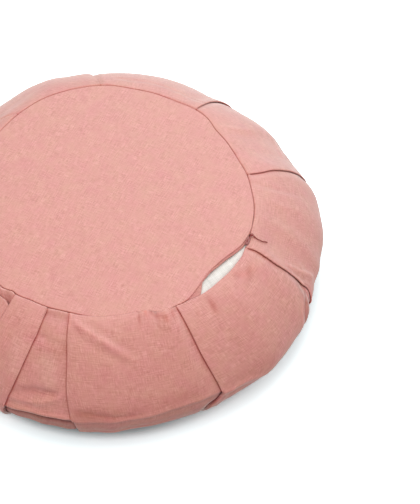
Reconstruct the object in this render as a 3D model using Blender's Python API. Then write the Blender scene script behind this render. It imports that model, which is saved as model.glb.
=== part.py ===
"""Zafu: a round floor cushion, a filled case in a linen cover with a pleated side band.

Units are metres, +Z is up, and the origin is on the floor under the middle of the cushion. Bearings are in
degrees, clockwise as seen from above, from the back (+Y), so that 90 is the right side (+X) and 180 the front.
"""
import math

import bpy
from mathutils import Vector

# Driving sizes of the filled cover, measured to the middle of the cloth.
WIDEST_RADIUS = 0.1895
WIDEST_HEIGHT = 0.0444
TOP_SEAM_HEIGHT = 0.1140
BOTTOM_SEAM_HEIGHT = 0.0045
BOTTOM_SEAM_RADIUS = 0.1255
TOP_CROWN = 0.0045
ROUNDNESS_ABOVE = 1.46   # 2 is an ellipse, less is a flatter shoulder
ROUNDNESS_BELOW = 2.0

# Cloth.
CLOTH = 0.0010           # thickness of the linen
LAYER_PITCH = 0.0015     # from the middle of one folded layer to the middle of the next
GAP = 0.0004             # between neighbouring pieces
FADE = 0.011             # along the band, over which a panel rises onto the pleat at its end
BILLOW = 0.0018          # how far a panel stands out between its pleats

# The top seam, in millimetres from the middle. The two edges part where the zip is open.
TOP_SEAM = (
    # bearing, edge of the top panel, edge of the band
    (0.0, 128.3, 128.7),
    (18.0, 125.2, 125.6),
    (37.5, 125.8, 126.2),
    (57.0, 121.6, 122.0),
    (77.4, 124.5, 124.9),
    (95.0, 127.9, 128.6),
    (106.0, 129.0, 130.2),
    (108.8, 127.6, 133.1),
    (113.0, 126.6, 133.6),
    (119.5, 121.8, 133.5),
    (127.0, 120.2, 133.2),
    (134.5, 120.6, 132.4),
    (141.5, 124.8, 131.0),
    (149.0, 128.7, 129.1),
    (152.5, 128.5, 128.9),
    (163.0, 123.4, 123.8),
    (179.0, 126.1, 126.5),
    (191.0, 123.6, 124.0),
    (203.0, 123.9, 124.3),
    (221.0, 126.8, 127.2),
    (254.0, 126.0, 126.4),
    (288.0, 124.3, 124.7),
    (308.0, 122.6, 123.0),
    (338.0, 128.0, 128.4),
)

# The pleats, clockwise. A pleat's lip is the folded edge that lies on top. It points clockwise (way 1) or
# anticlockwise (way -1), and the cloth goes back under it by the take-in. Both are given at the seams and at
# the band's widest line. The stand is how far the lip stands off there.
PLEATS = (
    # lip at the seams, way, take-in (mm), lip at the widest line, take-in there (mm), stand (mm)
    (-4.5, 1, 25.0, -8.0, 9.0, 3.0),
    (37.0, 1, 25.0, 36.0, 9.0, 3.5),
    (77.4, 1, 25.0, 69.5, 9.0, 3.0),
    (112.9, 1, 22.0, 108.8, 10.0, 5.0),
    (151.6, 1, 24.0, 148.0, 9.0, 2.5),
    (192.9, 1, 24.0, 187.0, 8.0, 2.0),
    (202.2, -1, 11.0, 206.4, 6.0, 1.5),
    (215.9, 1, 11.0, 215.5, 5.0, 1.5),
    (221.0, -1, 20.0, 219.6, 7.0, 1.5),
    (254.0, 1, 25.0, 250.5, 9.0, 3.0),
    (287.0, 1, 25.0, 283.5, 9.0, 3.0),
    (318.7, 1, 25.0, 313.0, 9.0, 3.0),
)
BAND_TURNS = (0, 14, 30, 48, 69, 90, 113, 142, 180)        # degrees from the top seam to the bottom one
PANEL_STOPS = (0.12, 0.34, 0.62, 0.86)                     # where a wide panel has a column of its own
NARROW_STOPS = (0.5,)
NARROW_PANEL = 14.0                                        # degrees between lips, below which it is narrow

# Top and bottom panels.
TOP_RINGS = (0.38, 0.70, 0.90, 1.0)            # shares of the seam's radius
BOTTOM_FLAT_RADIUS = 0.108                     # lies flat on the floor inside this
BOTTOM_RINGS = (BOTTOM_FLAT_RADIUS, 0.118)
LEAST_STEP = 0.9                               # degrees between two points of a panel's edge

# Filled case.
CASE_SHRINK = 0.0030       # inside the band's cloth, at the widest line
CASE_DROP = 0.0042         # below the top seam and above the bottom one, inside the pleats' lowest layers
CASE_EDGE = 0.120          # where its crowned top and its flat base turn into its side
CASE_SEGMENTS = 32
CASE_STEPS = 6

# Zip.
TAPE_START, TAPE_END = 105.0, 149.6            # bearings
TAPE_TUCK = 0.0045                             # how far it reaches under the top panel
TAPE_SHOW = 0.0015                             # how far it shows past the panel's edge
TAPE_CLOSED_FROM = 142.0                       # from here on it fills the slit's narrow end
TAPE_THICKNESS = 0.0008
SLIDER_BEARING, SLIDER_RADIUS = 111.1, 0.1302
SLIDER_LENGTH, SLIDER_WIDTH, SLIDER_HEIGHT = 0.0084, 0.0044, 0.0028
PULL_CORD = 0.0006                             # radius of the pull's cord
PULL_BEAD = 0.0013                             # radius of the bead by the slider
PULL_STOPS = (                                 # along the band: bearing, distance from the middle, radius
    (109.3, 0.1348, PULL_BEAD),
    (108.5, 0.1368, PULL_CORD),
    (107.8, 0.1392, PULL_CORD),
    (107.2, 0.1422, PULL_CORD),
    (106.6, 0.1452, PULL_CORD * 1.2),
)

LINEN = (0.73, 0.38, 0.335, 1.0)
COTTON = (0.83, 0.80, 0.74, 1.0)
TAPE_PINK = (0.50, 0.21, 0.19, 1.0)
ROSE_ENAMEL = (0.46, 0.18, 0.17, 1.0)


def clear_scene():
    for old in list(bpy.data.objects):
        bpy.data.objects.remove(old, do_unlink=True)


def material(name, colour, roughness, metallic=0.0):
    made = bpy.data.materials.new(name)
    made.use_nodes = True
    shader = made.node_tree.nodes["Principled BSDF"]
    shader.inputs["Base Color"].default_value = colour
    shader.inputs["Roughness"].default_value = roughness
    shader.inputs["Metallic"].default_value = metallic
    return made


def add_object(name, points, faces, finish, smooth=True):
    mesh = bpy.data.meshes.new(name)
    mesh.from_pydata([tuple(point) for point in points], [], faces)
    mesh.materials.append(finish)
    if smooth:
        mesh.shade_smooth()
    made = bpy.data.objects.new(name, mesh)
    bpy.context.scene.collection.objects.link(made)
    return made


def at(bearing, radius, height):
    """The point at a bearing, a distance from the middle and a height."""
    angle = math.radians(bearing)
    return Vector((radius * math.sin(angle), radius * math.cos(angle), height))


def mix(low, high, share):
    return low + (high - low) * share


def smooth_step(share):
    share = min(max(share, 0.0), 1.0)
    return share * share * (3 - 2 * share)


def seam_edge(bearing, column):
    """Distance of the top panel's edge (column 1) or the band's edge (column 2) from the middle."""
    bearing %= 360
    rows = len(TOP_SEAM)
    after = next((i for i in range(rows) if TOP_SEAM[i][0] > bearing), rows)
    stops = []
    for i in range(after - 2, after + 2):
        row = TOP_SEAM[i % rows]
        stops.append((row[0] + 360 * (i // rows), row[column]))
    (b0, r0), (b1, r1), (b2, r2), (b3, r3) = stops
    share = (bearing - b1) / (b2 - b1)
    slope_in = (r2 - r0) / (b2 - b0) * (b2 - b1)
    slope_out = (r3 - r1) / (b3 - b1) * (b2 - b1)
    square, cube = share ** 2, share ** 3
    curve = ((2 * cube - 3 * square + 1) * r1 + (cube - 2 * square + share) * slope_in
             + (3 * square - 2 * cube) * r2 + (cube - square) * slope_out)
    return min(max(curve, min(r1, r2) - 0.3), max(r1, r2) + 0.3) / 1000


def band_profile(turn, bearing):
    """Radius and height of the middle of the band's cloth, a turn of 0 to 180 degrees down from the seam."""
    if turn <= 90:
        angle = math.radians(turn)
        seam = seam_edge(bearing, 2)
        height, roundness = TOP_SEAM_HEIGHT, ROUNDNESS_ABOVE
    else:
        angle = math.radians(180 - turn)
        seam = BOTTOM_SEAM_RADIUS
        height, roundness = BOTTOM_SEAM_HEIGHT, ROUNDNESS_BELOW
    power = 2 / roundness
    out = max(math.sin(angle), 0.0) ** power
    up = max(math.cos(angle), 0.0) ** power
    return mix(seam, WIDEST_RADIUS, out), mix(WIDEST_HEIGHT, height, up)


def on_band(turn, bearing, offset):
    """A point that stands off the band's middle line by an offset, square to it."""
    step = 1.5
    r0, z0 = band_profile(max(turn - step, 0), bearing)
    r1, z1 = band_profile(min(turn + step, 180), bearing)
    along = math.hypot(r1 - r0, z1 - z0)
    radius, height = band_profile(turn, bearing)
    out, up = (z0 - z1) / along, (r1 - r0) / along
    if turn in (0, 180):
        out, up = 0.0, 1.0 - turn / 90
    return at(bearing, radius + out * offset, height + up * offset)


def openness(turn):
    """0 at the two seams, where the pleats are sewn flat, and 1 at the widest line."""
    return math.sin(math.radians(turn)) ** 1.5


def sunk(turn):
    """How far a pleat's lowest layer sinks into the filling next to a seam."""
    return LAYER_PITCH * math.cos(math.radians(turn)) ** 4


def pleat_layers(pleat, turn):
    """One pleat's path across the band at one turn, clockwise, as (bearing, offset) pairs."""
    lip_seam, way, take_seam, lip_wide, take_wide, stand_wide = pleat
    share = openness(turn)
    lip = mix(lip_seam, lip_wide, share)
    take_in = mix(take_seam, take_wide, share) / 1000
    stand = stand_wide / 1000 * share
    degrees = math.degrees(1 / band_profile(turn, lip)[0])     # of bearing in a metre along the band
    back = lip - way * take_in * degrees
    middle = (lip + back) / 2
    bend = way * LAYER_PITCH / 2 * degrees
    low = -sunk(turn)
    mid, top = low + LAYER_PITCH, low + 2 * LAYER_PITCH
    layers = [
        (back - 2.5 * bend, top),
        (middle, top + stand * 0.55),
        (lip, top + stand),
        (lip + bend, top + stand - LAYER_PITCH / 2),
        (lip, mid + stand),
        (middle, mid + stand * 0.55),
        (back, mid),
        (back - bend, low + LAYER_PITCH / 2),
        (back, low),
        (middle, low),
        (lip + 2.5 * bend, low),
    ]
    return layers if way > 0 else layers[::-1]


def panel_between(start, end, stops, turn):
    """Columns of a panel between two pleats' paths, standing out a little between them."""
    span = (end[0] - start[0]) * math.radians(1) * band_profile(turn, start[0])[0]
    columns = []
    for stop in stops:
        bearing = mix(start[0], end[0], stop)
        rise = start[1] * smooth_step(1 - stop * span / FADE)
        rise += end[1] * smooth_step(1 - (1 - stop) * span / FADE)
        if len(stops) == len(NARROW_STOPS):
            rise = (start[1] + end[1]) / 2
        billow = BILLOW * openness(turn) * math.sin(math.pi * stop)
        columns.append((bearing, rise + billow))
    return columns


def band_path(turn):
    """The whole band at one turn, once round, as (bearing, offset) pairs."""
    path = []
    for i, pleat in enumerate(PLEATS):
        path += pleat_layers(pleat, turn)
        following = PLEATS[(i + 1) % len(PLEATS)]
        lap = 360 if i + 1 == len(PLEATS) else 0
        bearing, offset = pleat_layers(following, turn)[0]
        wide = following[0] + lap - pleat[0] > NARROW_PANEL
        stops = PANEL_STOPS if wide else NARROW_STOPS
        path += panel_between(path[-1], (bearing + lap, offset), stops, turn)
    return path


def band_sides(turn):
    """The outer and the inner side of the cloth at one turn."""
    path = band_path(turn)
    outer, inner = [], []
    for i, (bearing, offset) in enumerate(path):
        before, after = path[i - 1], path[(i + 1) % len(path)]
        across = ((after[0] - before[0] + 180) % 360 - 180) * math.radians(1) * band_profile(turn, bearing)[0]
        rise = after[1] - before[1]
        length = math.hypot(across, rise)
        shift = -rise / length * math.degrees(1 / band_profile(turn, bearing)[0])
        lift = across / length
        half = CLOTH / 2
        outer.append(on_band(turn, bearing + shift * half, offset + lift * half))
        inner.append(on_band(turn, bearing - shift * half, offset - lift * half))
    return outer, inner


def build_side_band(linen):
    rows = [band_sides(turn) for turn in BAND_TURNS]
    columns = len(rows[0][0])
    points = [point for outer, inner in rows for point in outer + inner]

    def index(row, column, side):
        return (row * 2 + side) * columns + column % columns

    faces = []
    last = len(rows) - 1
    for j in range(columns):
        for i in range(last):
            faces.append((index(i, j, 0), index(i, j + 1, 0), index(i + 1, j + 1, 0), index(i + 1, j, 0)))
            faces.append((index(i, j, 1), index(i + 1, j, 1), index(i + 1, j + 1, 1), index(i, j + 1, 1)))
        faces.append((index(0, j + 1, 0), index(0, j, 0), index(0, j, 1), index(0, j + 1, 1)))
        faces.append((index(last, j, 0), index(last, j + 1, 0), index(last, j + 1, 1), index(last, j, 1)))
    return add_object("side_band", points, faces, linen)


def edge_bearings(turn):
    """Bearings of the band's own corners along a seam, so that a panel's edge runs beside the band's."""
    bearings = []
    for bearing in sorted(b % 360 for b, _ in band_path(turn)):
        if not bearings or bearing - bearings[-1] > LEAST_STEP:
            bearings.append(bearing)
    return bearings


def build_disc(name, rings, bearings, finish):
    """A round sheet from its upper side: a middle height, then rings of points, each a function of bearing."""
    upper = [Vector((0, 0, rings[0]))] + [ring(b) for ring in rings[1:] for b in bearings]
    points = upper + [point - Vector((0, 0, CLOTH)) for point in upper]
    below = len(upper)
    count = len(bearings)
    faces = []
    for j in range(count):
        k = (j + 1) % count
        faces.append((0, 1 + k, 1 + j))
        faces.append((below, below + 1 + j, below + 1 + k))
        for i in range(len(rings) - 2):
            a, b = 1 + i * count, 1 + (i + 1) * count
            faces.append((a + j, a + k, b + k, b + j))
            faces.append((below + a + j, below + b + j, below + b + k, below + a + k))
        rim = 1 + (len(rings) - 2) * count
        faces.append((rim + j, rim + k, below + rim + k, below + rim + j))
    return add_object(name, points, faces, finish)


def top_panel_height(share):
    """Height of the top panel's upper side, at a share of the way from its middle to its edge."""
    return TOP_SEAM_HEIGHT + CLOTH / 2 + TOP_CROWN * (1 - share ** 2.6)


def build_top_panel(linen):
    rings = [top_panel_height(0)]
    for share in TOP_RINGS:
        rings.append(lambda b, share=share: at(b, seam_edge(b, 1) * share, top_panel_height(share)))
    return build_disc("top_panel", rings, edge_bearings(0), linen)


def build_bottom_panel(linen):
    rings = [CLOTH]
    for radius in BOTTOM_RINGS:
        rise = max(radius - BOTTOM_FLAT_RADIUS, 0.0) / (BOTTOM_SEAM_RADIUS - BOTTOM_FLAT_RADIUS)
        height = CLOTH + (BOTTOM_SEAM_HEIGHT - CLOTH / 2) * rise ** 1.5
        rings.append(lambda b, radius=radius, height=height: at(b, radius, height))
    edge = BOTTOM_SEAM_RADIUS - GAP
    rings.append(lambda b: at(b, edge, BOTTOM_SEAM_HEIGHT + CLOTH / 2))
    return build_disc("bottom_panel", rings, edge_bearings(180), linen)


def build_inner_cushion(cotton):
    """The filled case: crowned above, bulging at the side and flat where it lies on the bottom panel."""
    top_edge = TOP_SEAM_HEIGHT - CASE_DROP
    base_edge = BOTTOM_SEAM_HEIGHT + CASE_DROP
    widest = WIDEST_RADIUS - CLOTH / 2 - CASE_SHRINK
    floor = CLOTH + GAP
    outline = [(CASE_EDGE * s, top_edge + TOP_CROWN * (1 - s ** 2.6)) for s in (0.38, 0.70, 0.90)]
    for i in range(CASE_STEPS + 1):
        angle = math.radians(90 * i / CASE_STEPS)
        power = 2 / ROUNDNESS_ABOVE
        out, up = math.sin(angle) ** power, max(math.cos(angle), 0.0) ** power
        outline.append((mix(CASE_EDGE, widest, out), mix(WIDEST_HEIGHT, top_edge, up)))
    for i in range(1, CASE_STEPS):
        angle = math.radians(90 - 90 * i / CASE_STEPS)
        out, up = math.sin(angle), math.cos(angle)
        outline.append((mix(CASE_EDGE, widest, out), mix(WIDEST_HEIGHT, base_edge, up)))
    outline += [(CASE_EDGE, base_edge), (BOTTOM_FLAT_RADIUS - 0.004, floor), (0.05, floor)]

    bearings = [360 * i / CASE_SEGMENTS for i in range(CASE_SEGMENTS)]
    points = [Vector((0, 0, top_edge + TOP_CROWN))]
    points += [at(b, radius, height) for radius, height in outline for b in bearings]
    points.append(Vector((0, 0, floor)))
    faces = []
    count, last = CASE_SEGMENTS, len(points) - 1
    for j in range(count):
        k = (j + 1) % count
        faces.append((0, 1 + k, 1 + j))
        for i in range(len(outline) - 1):
            a, b = 1 + i * count, 1 + (i + 1) * count
            faces.append((a + j, a + k, b + k, b + j))
        rim = 1 + (len(outline) - 1) * count
        faces.append((rim + j, rim + k, last))
    return add_object("inner_cushion", points, faces, cotton)


def build_zip_tape(tape_finish):
    """A flat strip under the edge of the top panel, which shows in the slit and fills the slit's narrow end."""
    steps = 18
    top = TOP_SEAM_HEIGHT - CLOTH / 2 - GAP
    points = []
    for i in range(steps + 1):
        bearing = mix(TAPE_START, TAPE_END, i / steps)
        panel, band = seam_edge(bearing, 1), seam_edge(bearing, 2)
        filled = smooth_step((bearing - TAPE_CLOSED_FROM + 3) / 3)
        outer = min(mix(panel + TAPE_SHOW, band - GAP, filled), band - GAP)
        inner = panel - TAPE_TUCK
        for radius, height in ((inner, top), (outer, top), (outer, top - TAPE_THICKNESS), (inner, top - TAPE_THICKNESS)):
            points.append(at(bearing, radius, height))
    faces = [(0, 1, 2, 3), tuple(steps * 4 + k for k in (3, 2, 1, 0))]
    for i in range(steps):
        a, b = i * 4, (i + 1) * 4
        for k in range(4):
            m = (k + 1) % 4
            faces.append((a + k, b + k, b + m, a + m))
    return add_object("zip_tape", points, faces, tape_finish, smooth=False)


def build_zip_slider(enamel):
    """The slider's body: a small block with rounded ends and a bridge along its back."""
    half_length, half_width = SLIDER_LENGTH / 2, SLIDER_WIDTH / 2
    outline = []
    for corner_x, corner_y, start in ((1, 1, 0), (-1, 1, 90), (-1, -1, 180), (1, -1, 270)):
        bend = 0.0012
        for turn in (0, 30, 60, 90):
            angle = math.radians(start + turn)
            outline.append((corner_x * (half_length - bend) + bend * math.cos(angle),
                            corner_y * (half_width - bend) + bend * math.sin(angle)))
    base = TOP_SEAM_HEIGHT - CLOTH / 2
    levels = ((0.92, 0.0), (1.0, 0.0004), (1.0, 0.0014), (0.62, 0.0019), (0.50, SLIDER_HEIGHT))
    centre = at(SLIDER_BEARING, SLIDER_RADIUS, 0)
    along = (at(SLIDER_BEARING + 1, 1, 0) - at(SLIDER_BEARING - 1, 1, 0)).normalized()
    across = at(SLIDER_BEARING, 1, 0)
    points = []
    for share, rise in levels:
        stretch = max(share, 0.85)
        for x, y in outline:
            points.append(centre + along * (x * stretch) + across * (y * share) + Vector((0, 0, base + rise)))
    count = len(outline)
    faces = [tuple(reversed(range(count))), tuple((len(levels) - 1) * count + j for j in range(count))]
    for i in range(len(levels) - 1):
        a, b = i * count, (i + 1) * count
        for j in range(count):
            k = (j + 1) % count
            faces.append((a + j, a + k, b + k, b + j))
    return add_object("zip_slider", points, faces, enamel)


def turn_at_radius(bearing, radius):
    """The band's turn, above its widest line, where it is this far from the middle."""
    low, high = 0.0, 90.0
    for _ in range(30):
        turn = (low + high) / 2
        if band_profile(turn, bearing)[0] < radius:
            low = turn
        else:
            high = turn
    return low


def build_zip_pull(cord_finish):
    """The pull: an eye on the slider's bridge, a bead, and a short cord that lies on the pleat beside it."""
    eye_height = TOP_SEAM_HEIGHT - CLOTH / 2 + SLIDER_HEIGHT + GAP + PULL_CORD
    spine = [at(SLIDER_BEARING - 0.4, SLIDER_RADIUS - 0.0006, eye_height)]
    radii = [PULL_CORD]
    for bearing, distance, radius in PULL_STOPS:
        turn = turn_at_radius(bearing, distance)
        pleat_top = 2 * LAYER_PITCH - sunk(turn) + 0.003 * openness(turn) + CLOTH / 2
        spine.append(on_band(turn, bearing, pleat_top + GAP + radius))
        radii.append(radius)
    sides = 8
    points = []
    for i, (centre, radius) in enumerate(zip(spine, radii)):
        ahead = (spine[min(i + 1, len(spine) - 1)] - spine[max(i - 1, 0)]).normalized()
        right = ahead.cross(Vector((0, 0, 1))).normalized()
        up = right.cross(ahead)
        for j in range(sides):
            angle = math.radians(360 * j / sides)
            points.append(centre + right * (radius * math.cos(angle)) + up * (radius * math.sin(angle)))
    faces = [tuple(range(sides)), tuple((len(spine) - 1) * sides + j for j in reversed(range(sides)))]
    for i in range(len(spine) - 1):
        a, b = i * sides, (i + 1) * sides
        for j in range(sides):
            k = (j + 1) % sides
            faces.append((a + k, a + j, b + j, b + k))
    return add_object("zip_pull", points, faces, cord_finish)


clear_scene()
linen = material("linen", LINEN, 0.9)
build_inner_cushion(material("cotton", COTTON, 0.9))
build_top_panel(linen)
build_side_band(linen)
build_bottom_panel(linen)
build_zip_tape(material("zip_tape", TAPE_PINK, 0.8))
build_zip_slider(material("zip_enamel", ROSE_ENAMEL, 0.35))
build_zip_pull(material("zip_cord", TAPE_PINK, 0.7))
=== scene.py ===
"""The looks of a zafu: a round floor cushion, a filled cotton case in a pink linen cover with a pleated side.

Metres, +Z up, the origin on the floor under the middle. A bearing is in degrees, clockwise as seen from
above, from the back (+Y), so that 90 is the right side (+X) and 180 the front.
"""
import math

import bpy
import numpy as np
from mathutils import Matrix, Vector, noise


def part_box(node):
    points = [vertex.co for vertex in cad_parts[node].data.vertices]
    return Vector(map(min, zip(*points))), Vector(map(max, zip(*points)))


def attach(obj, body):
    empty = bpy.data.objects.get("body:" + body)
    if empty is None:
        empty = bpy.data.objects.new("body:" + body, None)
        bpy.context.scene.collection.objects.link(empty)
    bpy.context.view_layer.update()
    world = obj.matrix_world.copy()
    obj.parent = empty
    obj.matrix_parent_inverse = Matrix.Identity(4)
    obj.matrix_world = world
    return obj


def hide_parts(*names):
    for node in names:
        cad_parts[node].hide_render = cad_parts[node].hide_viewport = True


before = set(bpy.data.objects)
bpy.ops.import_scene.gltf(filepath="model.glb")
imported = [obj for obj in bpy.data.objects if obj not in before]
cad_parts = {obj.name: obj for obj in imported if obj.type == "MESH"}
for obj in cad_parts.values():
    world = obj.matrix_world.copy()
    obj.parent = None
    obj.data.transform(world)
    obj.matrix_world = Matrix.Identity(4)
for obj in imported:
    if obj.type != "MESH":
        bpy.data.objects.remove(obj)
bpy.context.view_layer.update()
bpy.ops.object.select_all(action="DESELECT")

# ------------------------------------------------------------------------------------------------------------
# Filled case: an off-white cotton bag of loose hulls. It is sewn as a round bag, filled through a gap and
# pushed into the cover through the zip. It shows only in the open zip, where it swells up a little.
case_low, case_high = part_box("inner_cushion")
WIDEST_HEIGHT = 0.0444         # of the case and of the cover
SHOULDER = 1.46                # how both turn in above it: 2 is an ellipse, less is a flatter shoulder
CROWN_POWER = 2.6              # how flat their crowned tops are in the middle
CASE_EDGE = 0.120              # where the case's top turns into its side
CASE_SIDE_DROP = 0.0045        # how far its top falls from the middle to there
CASE_FLAT_RADIUS = 0.066
CASE_BASE_RING = 0.060         # a ring of points on its flat base
CASE_SEGMENTS = 96
CASE_VOXEL = 0.005
CASE_PRESSURE = 4.0
SWELL_FRAMES = 20
CASE_MOST = 0.0018             # how far the swelling may move a point
CASE_START = 0.0015            # the case starts this much smaller
CASE_GIVES = 0.0062            # and its side gives way to the cover's folds by this
CASE_RUMPLE, CASE_RUMPLE_FINENESS = 0.0003, 60
# In the open zip the case swells up nearly to the seam's level, along this line.
SLIT_LINE = (
    # bearing, mm from the middle
    (104, 129.5), (113, 129.3), (118, 128.0), (127, 126.3), (137, 127.0), (152, 129.0),
)
SLIT_LEVEL, SLIT_WIDTH = 0.1119, 0.0095
SLIT_FADE = 6                  # degrees over which that begins and ends
COTTON = (0.785, 0.764, 0.716, 1.0)
COTTON_THREAD = 0.00135
COTTON_BIAS = math.radians(58)             # how the case's cloth is turned on it


def at(bearing, radius, height):
    """Points at bearings, distances from the middle and heights, as rows of x, y and z."""
    angle = np.radians(bearing)
    x, y, z = np.broadcast_arrays(radius * np.sin(angle), radius * np.cos(angle), height)
    return np.stack([x, y, z], -1)


def mix(low, high, share):
    return low + (high - low) * share


def smooth_step(share):
    share = np.clip(share, 0.0, 1.0)
    return share * share * (3 - 2 * share)


def within(bearing, start, end, fade):
    """1 between two bearings, fading to 0 just inside them."""
    return smooth_step((bearing - start) / fade) * smooth_step((end - bearing) / fade)


def new_piece(name, points, faces, finish):
    """A mesh object at the origin, shaded smooth."""
    mesh = bpy.data.meshes.new(name)
    mesh.from_pydata([tuple(point) for point in points], [], faces)
    mesh.materials.append(finish)
    mesh.shade_smooth()
    piece = bpy.data.objects.new(name, mesh)
    bpy.context.scene.collection.objects.link(piece)
    return piece


def feed(node, values):
    """Sets a node's inputs, by name or number. Each gets a value, or another node's output."""
    for key, value in values.items():
        if isinstance(value, bpy.types.NodeSocket):
            node.id_data.links.new(value, node.inputs[key])
        else:
            node.inputs[key].default_value = value


def add_node(tree, kind, inputs=None, **settings):
    """A shader node of a kind, with its settings and its inputs."""
    node = tree.nodes.new("ShaderNode" + kind)
    for name, value in settings.items():
        setattr(node, name, value)
    feed(node, inputs or {})
    return node


def maths(operation, *values):
    """A Math node's output. At least one of the values is another node's output, and the rest are numbers."""
    tree = next(value.id_data for value in values if isinstance(value, bpy.types.NodeSocket))
    return add_node(tree, "Math", dict(enumerate(values)), operation=operation).outputs[0]


def noise_at(place, stretch, detail):
    """A Noise texture on a place that is stretched by a factor along each axis."""
    stretched = add_node(place.id_data, "Mapping", {"Vector": place, "Scale": stretch}).outputs["Vector"]
    texture = {"Vector": stretched, "Scale": 1.0, "Detail": detail}
    return add_node(place.id_data, "TexNoise", texture).outputs["Fac"]


def mixed_colour(share, low, high):
    """The colour at a share of the way from one to another."""
    inputs = {"Factor": share, "A": low, "B": high}
    return add_node(share.id_data, "Mix", inputs, data_type="RGBA").outputs["Result"]


def new_finish(name, looks):
    """A material, its shader with these looks, and the place on the object's own axes."""
    finish = bpy.data.materials.new(name)
    finish.use_nodes = True
    shader = finish.node_tree.nodes["Principled BSDF"]
    feed(shader, looks)
    return finish, shader, add_node(finish.node_tree, "TexCoord").outputs["Object"]


# The weave, in threads: its parts' fineness along x, y and z, and how much of each there is.
WOBBLE, WOBBLE_FINENESS = 1.6, (0.04, 0.04, 0.04)
THREAD_ROUND = 0.6             # 1 is a round thread, less is a flatter one
THREAD_MIDDLE, THREAD_RISE = 0.6, 0.35     # a thread's height, and how much it rises over and dips under
THREAD_JOIN = 0.1              # how softly two threads meet
WARP_SLUBS, WEFT_SLUBS = (0.62, 0.075, 0.05), (0.065, 0.58, 0.05)
SLUBS, SLUB_HEIGHT = 0.85, 0.7
PATCHES, PATCH_FINENESS = (3.0, -0.3), (0.035, 0.035, 0.035)            # where the slubs are stronger
GRAIN, GRAIN_FINENESS = 0.45, (0.55, 0.55, 0.55)


def build_weave_group():
    """Plain weave. It takes a place on the cloth in metres and the number of threads in a metre. It gives the
    threads' height, how light they are, and where slubs, the thick places of a hand-spun thread, run."""
    group = bpy.data.node_groups.new("plain weave", "ShaderNodeTree")
    group.interface.new_socket("Place", in_out="INPUT", socket_type="NodeSocketVector")
    group.interface.new_socket("Threads", in_out="INPUT", socket_type="NodeSocketFloat")
    for name in ("Height", "Shade", "Slubs"):
        group.interface.new_socket(name, in_out="OUTPUT", socket_type="NodeSocketFloat")
    given = group.nodes.new("NodeGroupInput").outputs
    made = group.nodes.new("NodeGroupOutput")

    threads_in = {0: given["Place"], "Scale": given["Threads"]}
    place = add_node(group, "VectorMath", threads_in, operation="SCALE").outputs[0]
    wobble = noise_at(place, WOBBLE_FINENESS, 1.0)
    sides = add_node(group, "SeparateXYZ", {0: place}).outputs
    waves = []
    for side, way in ((0, WOBBLE), (1, -WOBBLE)):
        crooked = maths("MULTIPLY_ADD", wobble, way, sides[side])
        waves.append(maths("COSINE", maths("MULTIPLY", crooked, math.pi)))
    over = maths("MULTIPLY", *waves)
    heights = []
    for wave, rise in zip(waves, (THREAD_RISE, -THREAD_RISE)):
        rounded = maths("POWER", maths("ABSOLUTE", wave), THREAD_ROUND)
        heights.append(maths("MULTIPLY", rounded, maths("MULTIPLY_ADD", over, rise, THREAD_MIDDLE)))
    threads = maths("SMOOTH_MAX", *heights, THREAD_JOIN)

    both_slubs = maths("ADD", noise_at(place, WARP_SLUBS, 2.0), noise_at(place, WEFT_SLUBS, 2.0))
    patches = maths("MULTIPLY_ADD", noise_at(place, PATCH_FINENESS, 1.0), *PATCHES)
    slubs = maths("MULTIPLY", maths("MULTIPLY_ADD", both_slubs, SLUBS, -SLUBS), patches)
    grain = maths("SUBTRACT", noise_at(place, GRAIN_FINENESS, 2.0), 0.5)
    feed(made, {
        "Height": maths("MULTIPLY_ADD", slubs, SLUB_HEIGHT, threads),
        "Shade": maths("MULTIPLY_ADD", grain, GRAIN, slubs),
        "Slubs": slubs,
    })
    return group


weave_group = build_weave_group()
WEAVE_MEAN = 0.43              # the weave's mean height
WASH_FINENESS, DYE_FINENESS = (26.0, 26.0, 26.0), (75.0, 75.0, 75.0)    # in a metre
SLUB_SATURATION = -0.5         # slubs are paler, by this and the contrast
# HUE_RICHER turns the hue where painted shade makes the colour richer.
HUE, HUE_VARIES, HUE_RICHER = 0.485, 0.03, -0.02           # 0.5 leaves the hue as it is
# Fine fibres stand up from the washed linen. Seen at a slant they cover it, and a painted sheen makes its
# outline paler there.
FUZZ_AND_SHEEN, FUZZ_AND_SHEEN_MOST, FUZZ_AND_SHEEN_POWER = (0.98, 0.84, 0.79, 1.0), 0.7, 5.0


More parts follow.
